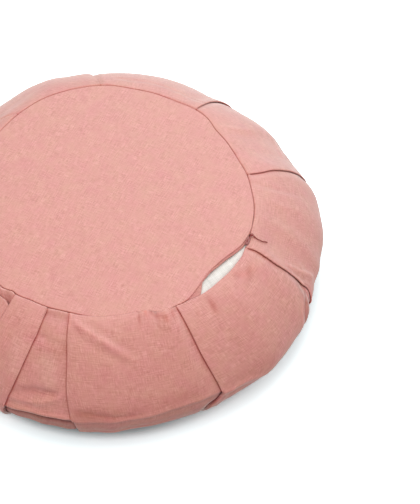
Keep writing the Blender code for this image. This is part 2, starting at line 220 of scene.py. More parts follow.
def woven(name, colour, thread, contrast, relief, mottle, bias=None, toned=False, between=0.0, looks=None):
    """A woven cloth's material. The colour varies with the threads and slubs (contrast) and with the wash
    (mottle), and it is deeper by the share between in the gaps between the threads. The weave follows the
    cloth's map or, where a bias is given, the object's axes turned by that angle. A toned cloth follows the
    painted light and shade that its points carry as tone and richness, and a painted sheen pales it at a
    slant."""
    finish, shader, place = new_finish(name, {"Roughness": 0.92, "Specular IOR Level": 0.25} | (looks or {}))
    tree = finish.node_tree
    if bias is None:
        on_cloth = add_node(tree, "UVMap", uv_map="cloth").outputs["UV"]
    else:
        turned = {"Vector": place, "Rotation": (0.0, 0.0, bias)}
        on_cloth = add_node(tree, "Mapping", turned).outputs["Vector"]
    threads = {"Place": on_cloth, "Threads": 1 / thread}
    weave = add_node(tree, "Group", threads, node_tree=weave_group).outputs
    wash = maths("SUBTRACT", noise_at(place, WASH_FINENESS, 3.0), 0.5)
    value = maths("MULTIPLY_ADD", weave["Shade"], contrast, 1.0)
    value = maths("MULTIPLY_ADD", wash, mottle, value)
    value = maths("MULTIPLY_ADD", maths("SUBTRACT", weave["Height"], WEAVE_MEAN), between, value)
    saturation = maths("MULTIPLY_ADD", weave["Slubs"], SLUB_SATURATION * contrast, 1.0)
    hue = maths("MULTIPLY_ADD", noise_at(place, DYE_FINENESS, 2.0), HUE_VARIES, HUE)
    if toned:
        # Painted light and shade that the points carry: tone makes the colour lighter or deeper, richness
        # richer.
        tone = add_node(tree, "Attribute", attribute_name="tone").outputs["Fac"]
        richness = add_node(tree, "Attribute", attribute_name="richness").outputs["Fac"]
        value = maths("MULTIPLY", value, tone)
        saturation = maths("MULTIPLY", saturation, richness)
        hue = maths("MULTIPLY_ADD", maths("SUBTRACT", richness, 1.0), HUE_RICHER, hue)
        # Fuzz and painted sheen: the colour is mixed towards a pale one where the cloth is seen at a slant.
        slanted = maths("POWER", add_node(tree, "LayerWeight").outputs["Facing"], FUZZ_AND_SHEEN_POWER)
        colour = mixed_colour(maths("MULTIPLY", slanted, FUZZ_AND_SHEEN_MOST), colour, FUZZ_AND_SHEEN)
    dye_and_painted_light = {"Color": colour, "Value": value, "Saturation": saturation, "Hue": hue}
    dyed_and_painted_light = add_node(tree, "HueSaturation", dye_and_painted_light).outputs["Color"]
    bump = add_node(tree, "Bump", {"Strength": 1.0, "Distance": relief, "Height": weave["Height"]})
    feed(shader, {"Base Color": dyed_and_painted_light, "Normal": bump.outputs["Normal"]})
    return finish


def turned_form(outline, segments):
    """Points and faces of a closed turned form. Its outline runs from the top on the axis to the base."""
    bearings = np.arange(segments) * 360 / segments
    points = [np.array([[0, 0, outline[0][1]]])]
    points += [at(bearings, radius, height) for radius, height in outline[1:-1]]
    points.append(np.array([[0, 0, outline[-1][1]]]))
    points = np.concatenate(points)
    faces = []
    last = len(points) - 1
    rings = len(outline) - 2
    for j in range(segments):
        k = (j + 1) % segments
        faces.append((0, 1 + k, 1 + j))
        for i in range(rings - 1):
            a, b = 1 + i * segments, 1 + (i + 1) * segments
            faces.append((a + j, a + k, b + k, b + j))
        rim = 1 + (rings - 1) * segments
        faces.append((rim + j, rim + k, last))
    return points, faces


def case_outline():
    """Half of the case's section: crowned above, bulging at the side and flat on the bottom panel."""
    shoulder = case_high.z - CASE_SIDE_DROP - CASE_START
    widest = case_high.x - CASE_START - CASE_GIVES
    base = case_low.z + CASE_START
    outline = [(0.0, case_high.z - CASE_START)]
    for share in (0.1, 0.25, 0.4, 0.55, 0.7, 0.85):
        outline.append((CASE_EDGE * share, shoulder + CASE_SIDE_DROP * (1 - share ** CROWN_POWER)))
    for angle in np.radians(np.arange(0, 91, 9)):
        out, up = math.sin(angle) ** (2 / SHOULDER), max(math.cos(angle), 0.0) ** (2 / SHOULDER)
        outline.append((mix(CASE_EDGE, widest, out), mix(WIDEST_HEIGHT, shoulder, up)))
    for angle in np.radians(np.arange(81, -1, -9)):
        out, up = math.sin(angle), math.cos(angle)
        outline.append((mix(CASE_FLAT_RADIUS, widest, out), mix(WIDEST_HEIGHT, base, up)))
    return outline + [(CASE_BASE_RING, base), (0.0, base)]


def swell(piece, voxel, pressure, most):
    """Gives a filled piece even faces, swells it as cloth under pressure, and caps how far a point moves."""
    bpy.context.view_layer.objects.active = piece
    piece.select_set(True)
    piece.data.remesh_voxel_size = voxel
    bpy.ops.object.voxel_remesh()
    before = np.array([v.co for v in piece.data.vertices])
    cloth = piece.modifiers.new("swell", "CLOTH")
    cloth.settings.use_pressure = True
    cloth.settings.uniform_pressure_force = pressure
    cloth.settings.effector_weights.gravity = 0
    for step in range(1, SWELL_FRAMES + 1):
        bpy.context.scene.frame_set(step)
    bpy.ops.object.modifier_apply(modifier=cloth.name)
    bpy.context.scene.frame_set(1)
    moved = np.array([v.co for v in piece.data.vertices]) - before
    length = np.linalg.norm(moved, axis=1, keepdims=True)
    kept = before + moved * np.minimum(1, most / np.maximum(length, 1e-9))
    piece.data.vertices.foreach_set("co", kept.ravel())
    piece.select_set(False)


cotton = woven("off-white cotton", COTTON, COTTON_THREAD, contrast=0.14, relief=0.00018, mottle=0.03,
               bias=COTTON_BIAS, between=0.3)
case = new_piece("filled_case", *turned_form(case_outline(), CASE_SEGMENTS), cotton)
swell(case, CASE_VOXEL, CASE_PRESSURE, CASE_MOST)
case_points = np.array([v.co for v in case.data.vertices])
case_bearings = np.degrees(np.arctan2(case_points[:, 0], case_points[:, 1])) % 360
case_radii = np.hypot(case_points[:, 0], case_points[:, 1])
case_above = case_points[:, 2] > WIDEST_HEIGHT
slit_bearings, slit_radii = zip(*SLIT_LINE)
off_slit = (case_radii - np.interp(case_bearings, slit_bearings, slit_radii) / 1000) / SLIT_WIDTH
slit_share = within(case_bearings, slit_bearings[0], slit_bearings[-1], SLIT_FADE)
in_slit = np.exp(-off_slit ** 2) * slit_share * case_above
case_points[:, 2] = mix(case_points[:, 2], np.maximum(case_points[:, 2], SLIT_LEVEL), in_slit)
for point in case_points:
    rumpling = noise.noise(Vector(point) * CASE_RUMPLE_FINENESS)
    point[2] += CASE_RUMPLE * rumpling * (point[2] > WIDEST_HEIGHT)
case_points[:, 2] = np.maximum(case_points[:, 2], case_low.z)
case.data.vertices.foreach_set("co", case_points.ravel())
case.data.update()
bpy.context.view_layer.objects.active = case
rounding = case.modifiers.new("round", "SUBSURF")
rounding.levels = rounding.render_levels = 1
bpy.ops.object.modifier_apply(modifier=rounding.name)
case.data.materials.clear()
case.data.materials.append(cotton)
case.data.shade_smooth()
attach(case, "root")
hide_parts("inner_cushion")

# ------------------------------------------------------------------------------------------------------------
# Side band: one strip of washed linen, laid in pleats that are pressed flat in both seams and open between
# them. Its edges are turned in and sewn to the round panels. At the front right the top edge is left free for
# the zip.
panel_low, panel_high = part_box("top_panel")
CLOTH = 0.0006                  # thickness of the linen
FRAME_CLOTH = 0.0010            # its thickness in the frame's solids
TOP_SEAM_HEIGHT = panel_low.z + FRAME_CLOTH / 2
PLAIN_SEAM = 0.1262             # the top seam's radius, for what is the same all round
SEAM_DEGREE = 2.2               # mm of it in a degree
WIDEST_RADIUS = 0.1895
BOTTOM_SEAM_RADIUS, BOTTOM_SEAM_HEIGHT = 0.1255, 0.0045
ROUNDNESS_BELOW = 2.0           # how the band turns in below its widest line, as SHOULDER is above it
SEAM_GAP = 0.00012              # each edge stands back from the seam's line by this
SEAM_ROLL, PLEAT_ROLL = 0.0008, 0.0017     # how roundly an edge turns in, alone and over a pleat's layers
ZIP_ROLL, ZIP_CLOSED = 0.0013, (88.0, 108.0)     # over the closed zip, which runs between these bearings
ZIP_FADE = 4                    # degrees over which what the zip does begins and ends
TIGHT_ROLL, TIGHT_TONE = 0.0001, 1.24      # where the sewn seam lies quite flat, and how much painted light makes its roll paler there
TIGHT_SEAM = ((150.0, 0.0), (154.0, 0.9), (184.0, 0.9), (190.0, 0.0))
TURNED_IN = 0.0032              # seam allowance below the roll
FLAT_PITCH, OPEN_PITCH = 0.00065, 0.0008   # between layers, in the seams and at the widest line
LINEN = (0.66, 0.262, 0.216, 1.0)
LINEN_THREAD = 0.00055
LINEN_LOOKS = {
    "Roughness": 0.75,
    "Specular IOR Level": 0.44,
    "Sheen Weight": 0.2,
    "Sheen Roughness": 0.6,
    "Sheen Tint": (1.0, 0.93, 0.90, 1.0),
}

# The top seam, in millimetres from the middle. The two edges part where the zip is open.
TOP_SEAM = (
    # bearing, edge of the top panel, edge of the band
    (0.0, 128.3, 128.7), (9.0, 126.0, 126.4), (18.0, 125.4, 125.8), (28.0, 124.4, 124.8),
    (37.5, 125.9, 126.3), (45.0, 124.9, 125.3), (50.0, 122.0, 122.4), (58.0, 121.6, 122.0),
    (69.0, 121.8, 122.2), (77.4, 124.2, 124.6), (86.0, 125.8, 126.2), (94.5, 127.9, 128.3),
    (101.5, 128.8, 129.3), (106.0, 129.0, 129.6), (109.5, 128.4, 131.2), (112.0, 127.4, 131.6),
    (114.0, 126.2, 130.5), (116.0, 124.6, 131.4), (118.0, 123.1, 132.0), (122.0, 120.2, 132.0),
    (126.5, 118.6, 131.9), (130.3, 118.0, 131.3), (133.4, 118.9, 131.2), (137.0, 120.8, 131.3),
    (142.5, 125.1, 130.1), (146.2, 128.0, 129.2), (149.0, 128.7, 129.1), (152.6, 128.4, 128.8),
    (154.8, 129.1, 129.5), (157.2, 129.0, 129.4), (159.6, 127.3, 127.7), (161.6, 124.7, 125.1),
    (163.6, 123.5, 123.9), (166.6, 122.8, 123.2), (170.0, 122.9, 123.3), (175.0, 123.6, 124.0),
    (182.5, 124.3, 124.7), (189.0, 123.6, 124.0), (193.0, 122.9, 123.3), (202.5, 123.4, 123.8),
    (210.0, 123.5, 123.9), (216.3, 124.9, 125.3), (218.0, 124.3, 124.7), (219.6, 125.6, 126.0),
    (221.5, 127.1, 127.5), (225.0, 126.6, 127.0), (254.0, 126.0, 126.4), (288.0, 124.3, 124.7),
    (308.0, 122.7, 123.1), (319.0, 125.0, 125.4), (333.0, 128.1, 128.5), (345.0, 128.5, 128.9),
)

# The pleats, clockwise. A pleat's lip is the folded edge that lies on top. It points clockwise (way 1) or
# anticlockwise (way -1), and the cloth goes back under it by the take-in. The lip's line is given as
# (mm down the cloth, bearing), and the widest line is 98 mm down.
PLEATS = (
    # way, take-in in the seams (mm), take-in at the widest line, how far the lip stands off there,
    # columns in the panel that follows, lip's line
    (1, 25.0, 9.0, 0.5, 60, ((0, -4.5), (30, -6.6), (98, -8.0), (181, -5.0))),
    (1, 25.0, 9.0, 0.6, 60, ((0, 37.2), (11, 37.0), (26, 36.4), (98, 37.0), (181, 37.0))),
    (1, 25.0, 9.0, 0.3, 66, ((0, 77.5), (12, 76.8), (26, 75.0), (57, 71.8), (98, 69.0), (181, 74.0))),
    (1, 22.0, 10.0, 0.8, 76, ((0, 113.6), (10, 112.7), (20, 112.5), (30, 112.2), (47, 110.7), (66, 109.1),
                              (73, 108.8), (77, 108.3), (81, 107.8), (86, 107.6), (90, 107.7), (95, 108.0),
                              (104, 108.6), (112, 109.3), (140, 111.6), (181, 114.0))),
    (1, 24.0, 9.0, 0.4, 84, ((0, 151.6), (26, 150.9), (47, 150.3), (68, 149.1), (88, 148.0), (91, 147.9),
                             (94, 148.4), (97.5, 149.9), (101, 151.3), (112, 152.6), (181, 155.0))),
    (1, 24.0, 8.0, 0.6, 20, ((0, 192.9), (21, 191.8), (38, 190.7), (64, 189.8), (82, 188.7), (106, 186.8),
                             (181, 188.0))),
    (-1, 11.0, 6.0, 0.4, 20, ((0, 202.1), (20, 202.3), (40, 203.2), (62, 204.4), (98, 206.5),
                              (181, 204.0))),
    (1, 11.0, 5.0, 0.0, 20, ((0, 215.9), (98, 215.5), (181, 215.9))),
    (-1, 20.0, 7.0, 0.0, 50, ((0, 225.0), (5, 222.8), (7.6, 220.9), (9.2, 218.7), (10.6, 216.9),
                              (11.3, 216.2), (12, 216.12), (16, 216.1), (98, 215.70), (181, 216.15))),
    (1, 25.0, 9.0, 0.6, 48, ((0, 254.0), (98, 250.5), (181, 253.0))),
    (1, 25.0, 9.0, 0.6, 48, ((0, 287.0), (98, 283.5), (181, 286.0))),
    (1, 25.0, 9.0, 0.6, 48, ((0, 318.7), (11, 313.8), (98, 311.0), (181, 316.0))),
)

# Creases, puckers and folds that the cloth took in use. Each belongs to the panel that follows the pleat of
# that number, counted from 0. A point of its line is (bearing, mm down the cloth, height in mm), and the
# height is below 0 in a trough.
CREASES = (
    # panel, half-width (mm), points of its line
    # the back, between the first two pleats
    (0, 1.8, ((357, 20, -0.2), (2, 16, -0.6), (7, 13, -0.7), (11, 15, -0.6), (15, 19, -0.2))),
    (0, 3.0, ((28, 4, 0.2), (27, 14, 0.7), (26, 26, 0.5))),
    # the back right
    (1, 3.5, ((48, 1, 0.1), (53, 12, 0.8), (54.5, 25, 1.0), (54, 40, 0.6))),
    (1, 3.0, ((53, 73, 0.2), (58, 68, 0.9), (62, 63, 0.9), (65, 59, 0.3))),
    # the right
    (2, 3.0, ((82.5, 1, -0.3), (83.5, 12, -0.8), (83.5, 24, -0.8), (82.3, 41, -0.6), (81, 57, -0.2))),
    (2, 3.0, ((90, 14, 0.2), (89.5, 30, 0.6), (88, 48, 0.5), (87, 60, 0.1))),
    (2, 2.0, ((109.6, 38, 0.2), (108.2, 49, 0.8), (106.6, 62, 1.1), (105.2, 71, 1.3), (103.8, 79, 1.3),
              (102.8, 87, 0.9))),
    (2, 1.6, ((109.3, 55, -0.3), (108.0, 66, -0.6), (107.0, 74, -0.8), (105.6, 81, -0.6))),
    # under the pleat that curls away at the right
    (3, 3.2, ((109.8, 75, -0.3), (110.6, 79, -0.9), (112.3, 85, -1.2), (114.5, 92, -1.2),
              (116.5, 104, -0.8))),
    (3, 1.2, ((109.6, 81, -0.2), (110.6, 82.8, -0.5), (112.5, 86.2, -0.6), (114.2, 90.9, -0.6),
              (115.0, 95, -0.4), (115.6, 100, -0.1))),
    (3, 1.1, ((110.0, 76, 0.2), (112.5, 76.5, 0.5), (114.3, 79.7, 0.8), (115.9, 83.6, 0.8),
              (116.6, 90.8, 0.8), (116.9, 98, 0.3))),
    (3, 2.0, ((108.8, 71, 0.2), (108.3, 77, 1.4), (107.9, 83, 1.9), (107.9, 90, 1.9), (108.2, 97, 1.5),
              (108.6, 104, 0.5))),
    (2, 2.0, ((108.6, 71, -0.1), (108.0, 77, -0.8), (107.6, 83, -1.1), (107.7, 90, -1.1), (108.0, 97, -0.9),
              (108.6, 104, -0.2))),
    # the front right, and its puckers at the zip
    (3, 2.2, ((125.6, 7, -0.2), (125.8, 11, -0.6), (126.8, 15, -0.1))),
    (3, 2.6, ((120.5, 13, -0.2), (121.2, 17, -0.7), (123.5, 20, -0.7), (125.5, 23, -0.2))),
    (3, 2.0, ((130, 6, 0.2), (131.5, 14, 0.6), (132.6, 24, 0.2))),
    (3, 2.4, ((139.5, 4, -0.2), (139.9, 10, -0.5), (140.4, 18, -0.8), (140.8, 23, -0.1))),
    (3, 2.0, ((145, 4, 0.3), (145.5, 14, 0.5), (146, 26, 0.1))),
    (3, 2.0, ((147.6, 90, 0.6), (145, 92.6, 1.0), (139.8, 93.1, 0.9), (133.8, 101.8, 0.5))),
    (3, 3.0, ((147.4, 97, -1.0), (142.7, 98.5, -1.0), (137.4, 103, -0.5))),
    # the front: a long diagonal fold, puckers in the seam, and the fold below which the cloth turns under
    (4, 2.0, ((190.6, 6, 0.5), (189, 9, 1.3), (184.3, 14.4, 1.7), (177.6, 24.1, 1.6), (173.1, 33.3, 1.3),
              (169.5, 41.3, 0.9), (167, 48, 0.3))),
    (4, 2.6, ((189.6, 15, -0.5), (184.4, 22, -1.0), (178, 31, -1.0), (173, 41, -0.5))),
    (4, 3.0, ((184, 7, -0.4), (179, 15, -0.9), (174, 24, -0.8), (170.5, 31, -0.3))),
    (4, 1.5, ((166.2, 1, -1.2), (166.5, 9, -0.5))),
    (4, 1.5, ((163.0, 1, 0.8), (163.4, 11, 0.5))),
    (4, 1.6, ((160.0, 1, -1.6), (160.5, 7, -1.2), (160.6, 14, -0.3))),
    (4, 1.6, ((156.4, 1, 0.9), (156.8, 9, 0.7), (157.2, 16, 0.2))),
    (4, 1.5, ((154.4, 2, -1.1), (154.6, 9, -0.8), (155.2, 16, -0.2))),
    (4, 2.0, ((187, 80, -0.3), (185.3, 81.9, -0.9), (180.9, 83.8, -1.1), (175.7, 86.5, -1.0),
              (170.6, 86.5, -0.3))),
    (4, 2.2, ((188, 93, 0.3), (178.1, 91.6, 0.4), (170.2, 90.2, 0.4), (161.4, 88.2, 0.4),
              (152, 86.2, 0.4))),
    (4, 1.5, ((188, 107, 0.8), (178.1, 106.4, 1.0), (170.2, 105, 1.0), (161.4, 102.5, 0.8))),
    # the sunken panel at the front left: creases, a deep fold, and a lower edge over the next layer
    (5, 2.0, ((204, 24, -0.3), (199.4, 24, -0.9), (195.5, 27, -0.9), (191.5, 27, -0.4))),
    (5, 2.0, ((203.5, 31, 0.3), (198.5, 32, 0.6), (193.5, 34, 0.5))),
    (5, 2.5, ((205.4, 77, -0.6), (202, 73, -1.6), (199, 70, -2.5), (196, 69, -2.9), (193.2, 69.3, -1.8),
              (191.6, 69.5, -0.3))),
    (5, 2.2, ((205.4, 83, 0.8), (202.5, 82, 1.5), (199, 81, 1.8), (196.5, 79, 1.8), (194, 75, 1.5),
              (191.5, 70.5, 0.9), (190, 66, 0.3))),
    (5, 2.0, ((207, 93, 1.0), (202.2, 91.2, 1.4), (196.7, 89.9, 1.4), (191.3, 89.8, 1.4),
              (188.2, 89.1, 1.2))),
    (5, 1.8, ((207, 98.6, -2.0), (202.2, 97.4, -2.6), (196.7, 96.2, -2.6), (191.3, 96.2, -2.6),
              (187.5, 95.8, -2.0))),
    (5, 5.0, ((203.5, 5, -1.2), (198, 6, -1.8), (193.5, 7, -1.2))),
    (5, 1.6, ((206.4, 104.2, 0.9), (202.4, 105.5, 1.2), (196.8, 105.4, 1.2), (191.6, 106.4, 1.2),
              (187, 105.7, 1.2))),
    # the box strip and the sunken wedge beside it
    (6, 2.2, ((213.5, 14, 0.2), (212.5, 30, 0.5), (212, 46, 0.2))),
    (6, 2.0, ((209, 52, -0.4), (213, 58, -0.5))),
    (7, 3.2, ((219.0, 3, -1.6), (218.0, 8, -1.8), (217.5, 16, -1.0))),
)

# Painted shade, where the cloth lies sheltered: its colour is deeper by the share given with each point.
# Below 0 it is painted light, and lighter.
PAINTED_SHADES = (
    # panel, half-width (mm), points of its line
    (3, 2.6, ((109.5, 84, 0.16), (111.0, 87, 0.22), (113.0, 93, 0.26), (114.5, 99, 0.24))),
    (3, 1.6, ((111.8, 79, 0.10), (112.6, 81.5, 0.16), (113.8, 84, 0.18), (114.7, 87, 0.18),
              (115.3, 90.5, 0.16))),
    (3, 3.2, ((111.0, 65, 0.14), (111.3, 70, 0.22), (111.9, 75, 0.18), (113.4, 80, 0.05))),
    (3, 1.3, ((108.6, 82, 0.1), (110.6, 82.8, 0.32), (112.5, 86.2, 0.2), (114.2, 90.9, 0.28),
              (115.0, 95, 0.28), (115.6, 99, 0.1))),
    (3, 1.3, ((108.2, 80, -0.3), (107.9, 85, -1.0), (108.1, 92, -1.1), (108.4, 99, -0.9))),
    (3, 0.7, ((112.0, 86.3, 0.25), (109.0, 93.7, 0.3))),
    (3, 1.1, ((109.4, 76.5, -0.02), (112.5, 76.2, -0.04), (114.3, 79.7, -0.16), (115.9, 83.5, -0.25),
              (116.6, 90.8, -0.25), (116.9, 98, -0.1))),
    (2, 1.2, ((110.4, 47, -0.05), (108.8, 66, -0.08), (108.2, 77, -0.3), (107.6, 84, -0.7),
              (107.6, 90, -0.9), (107.9, 98, -0.8))),
    (2, 1.0, ((106.4, 62, -0.1), (105.0, 71, -0.16), (103.6, 79, -0.16), (102.8, 87, -0.1))),
    (3, 2.6, ((125.8, 3, 0.04), (126.1, 6, 0.09), (126.6, 12, 0.02))),
    (3, 3.0, ((120.6, 9, 0.06), (121.4, 12.8, 0.15), (122.4, 17, 0.09), (125.6, 18.5, 0.07))),
    (3, 2.2, ((140.0, 2, 0.06), (140.0, 5, 0.10), (140.2, 10, 0.14), (140.4, 14, 0.22), (140.5, 19, 0.10))),
    (3, 8.0, ((144, 84, 0.06), (138, 87, 0.08), (132, 92, 0.08))),
    (4, 1.3, ((165.9, 1, 0.10), (166.4, 5, 0.20), (166.7, 10, 0.13), (166.8, 14, 0.02))),
    (4, 3.0, ((161.2, 1.5, 0.13), (158.6, 3.2, 0.18), (156.8, 6, 0.13))),
    (4, 1.3, ((160.4, 13, 0.12), (159.1, 15.9, 0.18), (157.4, 16.2, 0.14))),
    (4, 7.0, ((186, 84, 0.16), (181, 84, 0.16), (176, 83, 0.09), (168, 81, 0.08), (159, 79, 0.12),
              (154, 79, 0.08))),
    (5, 9.0, ((196.5, 44, -0.06), (195.5, 60, -0.05))),
    (6, 8.0, ((206.0, 38, -0.07), (205.0, 56, -0.06))),
    (4, 0.9, ((161.5, 0, 0.35), (161.7, 2.4, 0.30))),
    (4, 1.3, ((192.9, 0, -0.4), (192.4, 8, -0.4), (191.9, 12, -0.1))),
    (3, 0.8, ((148.0, 91, 0.2), (149.9, 97.5, 0.25), (151.3, 101, 0.25), (152.6, 112, 0.1))),
    (4, 1.1, ((148.0, 90, 0.3), (149.9, 97.5, 0.4), (151.3, 101, 0.4), (152.6, 112, 0.2))),
    (4, 1.3, ((153.6, 1.5, 0.25), (153.0, 4, 0.22))),
    (4, 3.0, ((187, 80, 0.05), (185.3, 81.9, 0.08), (180.9, 83.8, 0.08), (175.7, 86.5, 0.08),
              (170.6, 86.5, 0.05))),
    (4, 2.2, ((188, 108, -0.08), (178, 108, -0.12), (170, 107, -0.12), (161, 104, -0.12),
              (152, 103, -0.1))),
    (5, 2.6, ((202, 72.5, 0.04), (199, 71, 0.09), (196, 69, 0.11), (193.2, 69.3, 0.08))),
    (5, 4.5, ((199.8, 33.7, 0.03), (197, 34, 0.07), (194.9, 32.4, 0.10), (192.2, 31.5, 0.12))),
    (5, 1.0, ((197, 71, 0.08), (194.5, 69.8, 0.2), (192.6, 69.3, 0.18))),
    (5, 1.8, ((206, 104, -0.08), (197, 104, -0.12), (188, 107, -0.1))),
    (7, 2.4, ((221.5, 5.5, 0.18), (219.2, 5.5, 0.2), (217.4, 6.5, 0.26), (216.5, 9.5, 0.32))),
)

# Painted bounce light: where light comes off the next fold too, the colour is richer, by the share given with
# each point. Below 0 it is paler and less rich.
PAINTED_BOUNCE = (
    # panel, half-width (mm), points of its line
    (3, 2.4, ((111.6, 78, 0.18), (112.6, 81.5, 0.34), (113.8, 84.2, 0.34), (114.7, 87, 0.26),
              (115.4, 91, 0.12))),
    (3, 3.0, ((139.8, 9, 0.04), (140.3, 14, 0.08), (140.6, 20, 0.05))),
    (3, 4.0, ((125.9, 5, 0.04), (122.5, 14, 0.08), (119.5, 14, 0.05))),
    (4, 1.8, ((163.6, 0, 0.14), (163.3, 4, 0.05))),
    (4, 3.2, ((161.4, 2, 0.05), (158.6, 4, 0.06), (156.6, 8, 0.07), (154.6, 4, 0.07))),
    (4, 1.6, ((166.4, 4, 0.06), (166.8, 12, 0.03))),
    (5, 4.0, ((206, 96, 0.08), (197, 95, 0.1), (188, 94, 0.08))),
    (5, 9.0, ((196.5, 44, -0.06), (195.5, 60, -0.05))),
    (6, 8.0, ((206.0, 38, -0.05), (205.0, 56, -0.05))),
)

# Ledges: below a fold near the floor the cloth turns in under it, steeply first and then more gently.
LEDGES = (
    # panel, wall (mm in), further fall (mm in), painted shade: how much deeper the colour is below it
    # and in its gap, its line: (bearing, mm down the cloth)
    (3, 0.7, 0.8, 0.08, 0.0, ((134.5, 101.5), (139.8, 95.5), (145, 93.4), (147.6, 92.2))),
    (4, 1.0, 0.9, 0.20, 0.08, ((188, 91.0), (182.2, 90.0), (178.1, 89.6), (170.2, 89.6), (161.4, 86.5),
                               (156.6, 86.2), (151.4, 87.6), (147.9, 89.4))),
    (5, 2.8, -1.0, 0.34, 0.50, ((207, 95.2), (202.2, 93.2), (196.7, 91.8), (191.3, 91.8), (187, 91.0))),
)
WALL_WIDTH, FALL_WIDTH = 2.6, 13.0         # mm down the cloth over which a ledge turns in, and falls further
LEDGE_FADE = 45.0               # mm from the bottom seam over which it fades out
GAP_SLOPE, GAP_BELOW, GAP_WIDTH = 1.4, 0.8, 1.5    # the gap lies lower under a deeper wall (mm)
CREASE_TONE = 0.05              # painted light and shade: how much paler the cloth is for each mm that it stands up, and deeper in a trough
CREASE_DARKEST, CREASE_PALEST = 0.75, 1.1  # the tones between which that keeps

# What the filling pushes the cloth out by, or where it lacks, in mm at the widest line.
OUTLINE = (
    (0.0, -0.9), (8.5, -0.3), (15.0, -0.3), (21.4, -1.0), (28.0, -2.3), (32.6, -3.4), (36.0, -2.0),
    (42.0, -2.0), (46.3, -0.9), (52.5, -0.1), (57.2, -2.3), (61.5, -2.1), (67.0, -0.9), (69.6, 0.8),
    (72.3, 2.7), (80.7, 1.2), (85.5, 0.8), (88.8, -0.3), (94.7, -2.8), (98.0, -2.5), (101.2, -3.9),
    (106.4, -3.8), (109.0, -2.7), (111.5, 0.0), (114.0, 1.1), (117.0, 1.1), (120.0, 0.2), (123.5, 0.5),
    (128.0, 1.1), (131.6, 1.8), (136.0, 0.6), (141.0, 0.0), (145.0, 0.2), (149.0, 0.2), (152.0, 0.2),
    (154.3, 1.0), (157.0, 0.2), (162.0, -0.5), (168.0, -0.7), (173.0, -0.7), (178.0, 1.6), (183.0, 1.3),
    (186.5, 1.4), (189.0, 1.2), (192.0, -0.2), (196.0, 0.2), (200.0, -0.8), (203.5, 0.9), (206.8, 1.6),
    (209.0, 0.4), (215.0, 0.0), (250.0, -0.4), (300.0, -2.5), (318.0, -4.6), (323.3, -4.4),
    (329.7, -2.5), (333.5, -0.8), (340.0, 0.7), (346.8, -0.6), (349.5, -0.6), (351.6, -0.6),
    (352.6, -1.0), (354.0, -1.2), (356.5, -1.1),
)
OUTLINE_TOP, OUTLINE_BOTTOM = 28.0, 50.0   # mm from the seams over which that fades out
RUMPLES = ((0.00030, 48.0), (0.00012, 130.0))     # soft unevenness: height, and how fine it is
RUMPLE_CLEAR = 7.0              # mm from the seams over which it fades out


def smooth_curve(stops, values, period=None):
    """A smooth curve through values at rising stops, as a function. With a period it is a closed one."""
    stops, values = np.array(stops, float), np.array(values, float)
    if period:
        stops = np.concatenate([stops[-2:] - period, stops, stops[:2] + period])
        values = np.concatenate([values[-2:], values, values[:2]])
    slopes = np.gradient(values, stops)

    def curve(place):
        place = np.asarray(place, float)
        place = place % period if period else np.clip(place, stops[0], stops[-1])
        i = np.clip(np.searchsorted(stops, place, side="right") - 1, 0, len(stops) - 2)
        gap = stops[i + 1] - stops[i]
        t = (place - stops[i]) / gap
        return ((2 * t ** 3 - 3 * t ** 2 + 1) * values[i] + (t ** 3 - 2 * t ** 2 + t) * gap * slopes[i]
                + (3 * t ** 2 - 2 * t ** 3) * values[i + 1] + (t ** 3 - t ** 2) * gap * slopes[i + 1])

    return curve


seam_bearings = [row[0] for row in TOP_SEAM]
panel_edge = smooth_curve(seam_bearings, [row[1] / 1000 for row in TOP_SEAM], 360)
band_edge = smooth_curve(seam_bearings, [row[2] / 1000 for row in TOP_SEAM], 360)


def section(turn, seam):
    """Radius and height of the middle of the band's cloth, a turn of 0 to 180 degrees down from the seam."""
    above = turn <= 90
    angle = np.radians(np.where(above, turn, 180 - turn))
    power = np.where(above, 2 / SHOULDER, 2 / ROUNDNESS_BELOW)
    out = np.maximum(np.sin(angle), 0) ** power
    up = np.maximum(np.cos(angle), 0) ** power
    inner = np.where(above, seam, BOTTOM_SEAM_RADIUS + SEAM_GAP)
    end = np.where(above, TOP_SEAM_HEIGHT, BOTTOM_SEAM_HEIGHT)
    return mix(inner, WIDEST_RADIUS, out), mix(WIDEST_HEIGHT, end, up)


SECTION_POINTS = 1441
all_turns = np.linspace(0, 180, SECTION_POINTS)
line_radius, line_height = section(all_turns, np.mean([row[2] for row in TOP_SEAM]) / 1000)
line_steps = np.hypot(np.diff(line_radius), np.diff(line_height))
line_down = np.concatenate([[0], np.cumsum(line_steps)]) * 1000
BAND_DEPTH = line_down[-1]

HEM_ANGLES = (90, 66, 44, 22, 0)
ROLL_CLEAR = 2.2                # mm from a seam to the first row past its roll
ROW_STRETCHES = (
    # mm down where a stretch ends, its rows: closer together where the cloth has small folds
    (26.0, 13),
    (84.0, 25),
    (112.0, 22),
    (BAND_DEPTH - ROLL_CLEAR, 19),
)
OPENING = 1.5                   # how slowly the pleats open on the way to the widest line
main_downs = [ROLL_CLEAR]
for stretch_end, stretch_rows in ROW_STRETCHES:
    main_downs += list(np.linspace(main_downs[-1], stretch_end, stretch_rows + 1)[1:])
# A row's kind, its angle on the roll or its mm down the cloth, and how far it is turned in.
band_rows = [("top", 90, TURNED_IN)] + [("top", angle, 0.0) for angle in HEM_ANGLES]
band_rows += [("main", down, 0.0) for down in main_downs[1:]]
band_rows += [("bottom", angle, 0.0) for angle in reversed(HEM_ANGLES)] + [("bottom", 90, TURNED_IN)]
row_downs = np.array([{"top": 0.0, "main": down, "bottom": BAND_DEPTH}[kind] for kind, down, _ in band_rows])
row_turns = np.interp(row_downs, line_down, all_turns)
openness = np.sin(np.radians(row_turns)) ** OPENING
lip_lines = [smooth_curve(*zip(*pleat[5])) for pleat in PLEATS]


def stop_pattern(count, crowd):
    """Shares from 0 to 1, closer together at both ends, without the ends themselves."""
    even = np.linspace(0, 1, count + 2)[1:-1]
    return mix(even, (1 - np.cos(np.pi * even)) / 2, crowd)


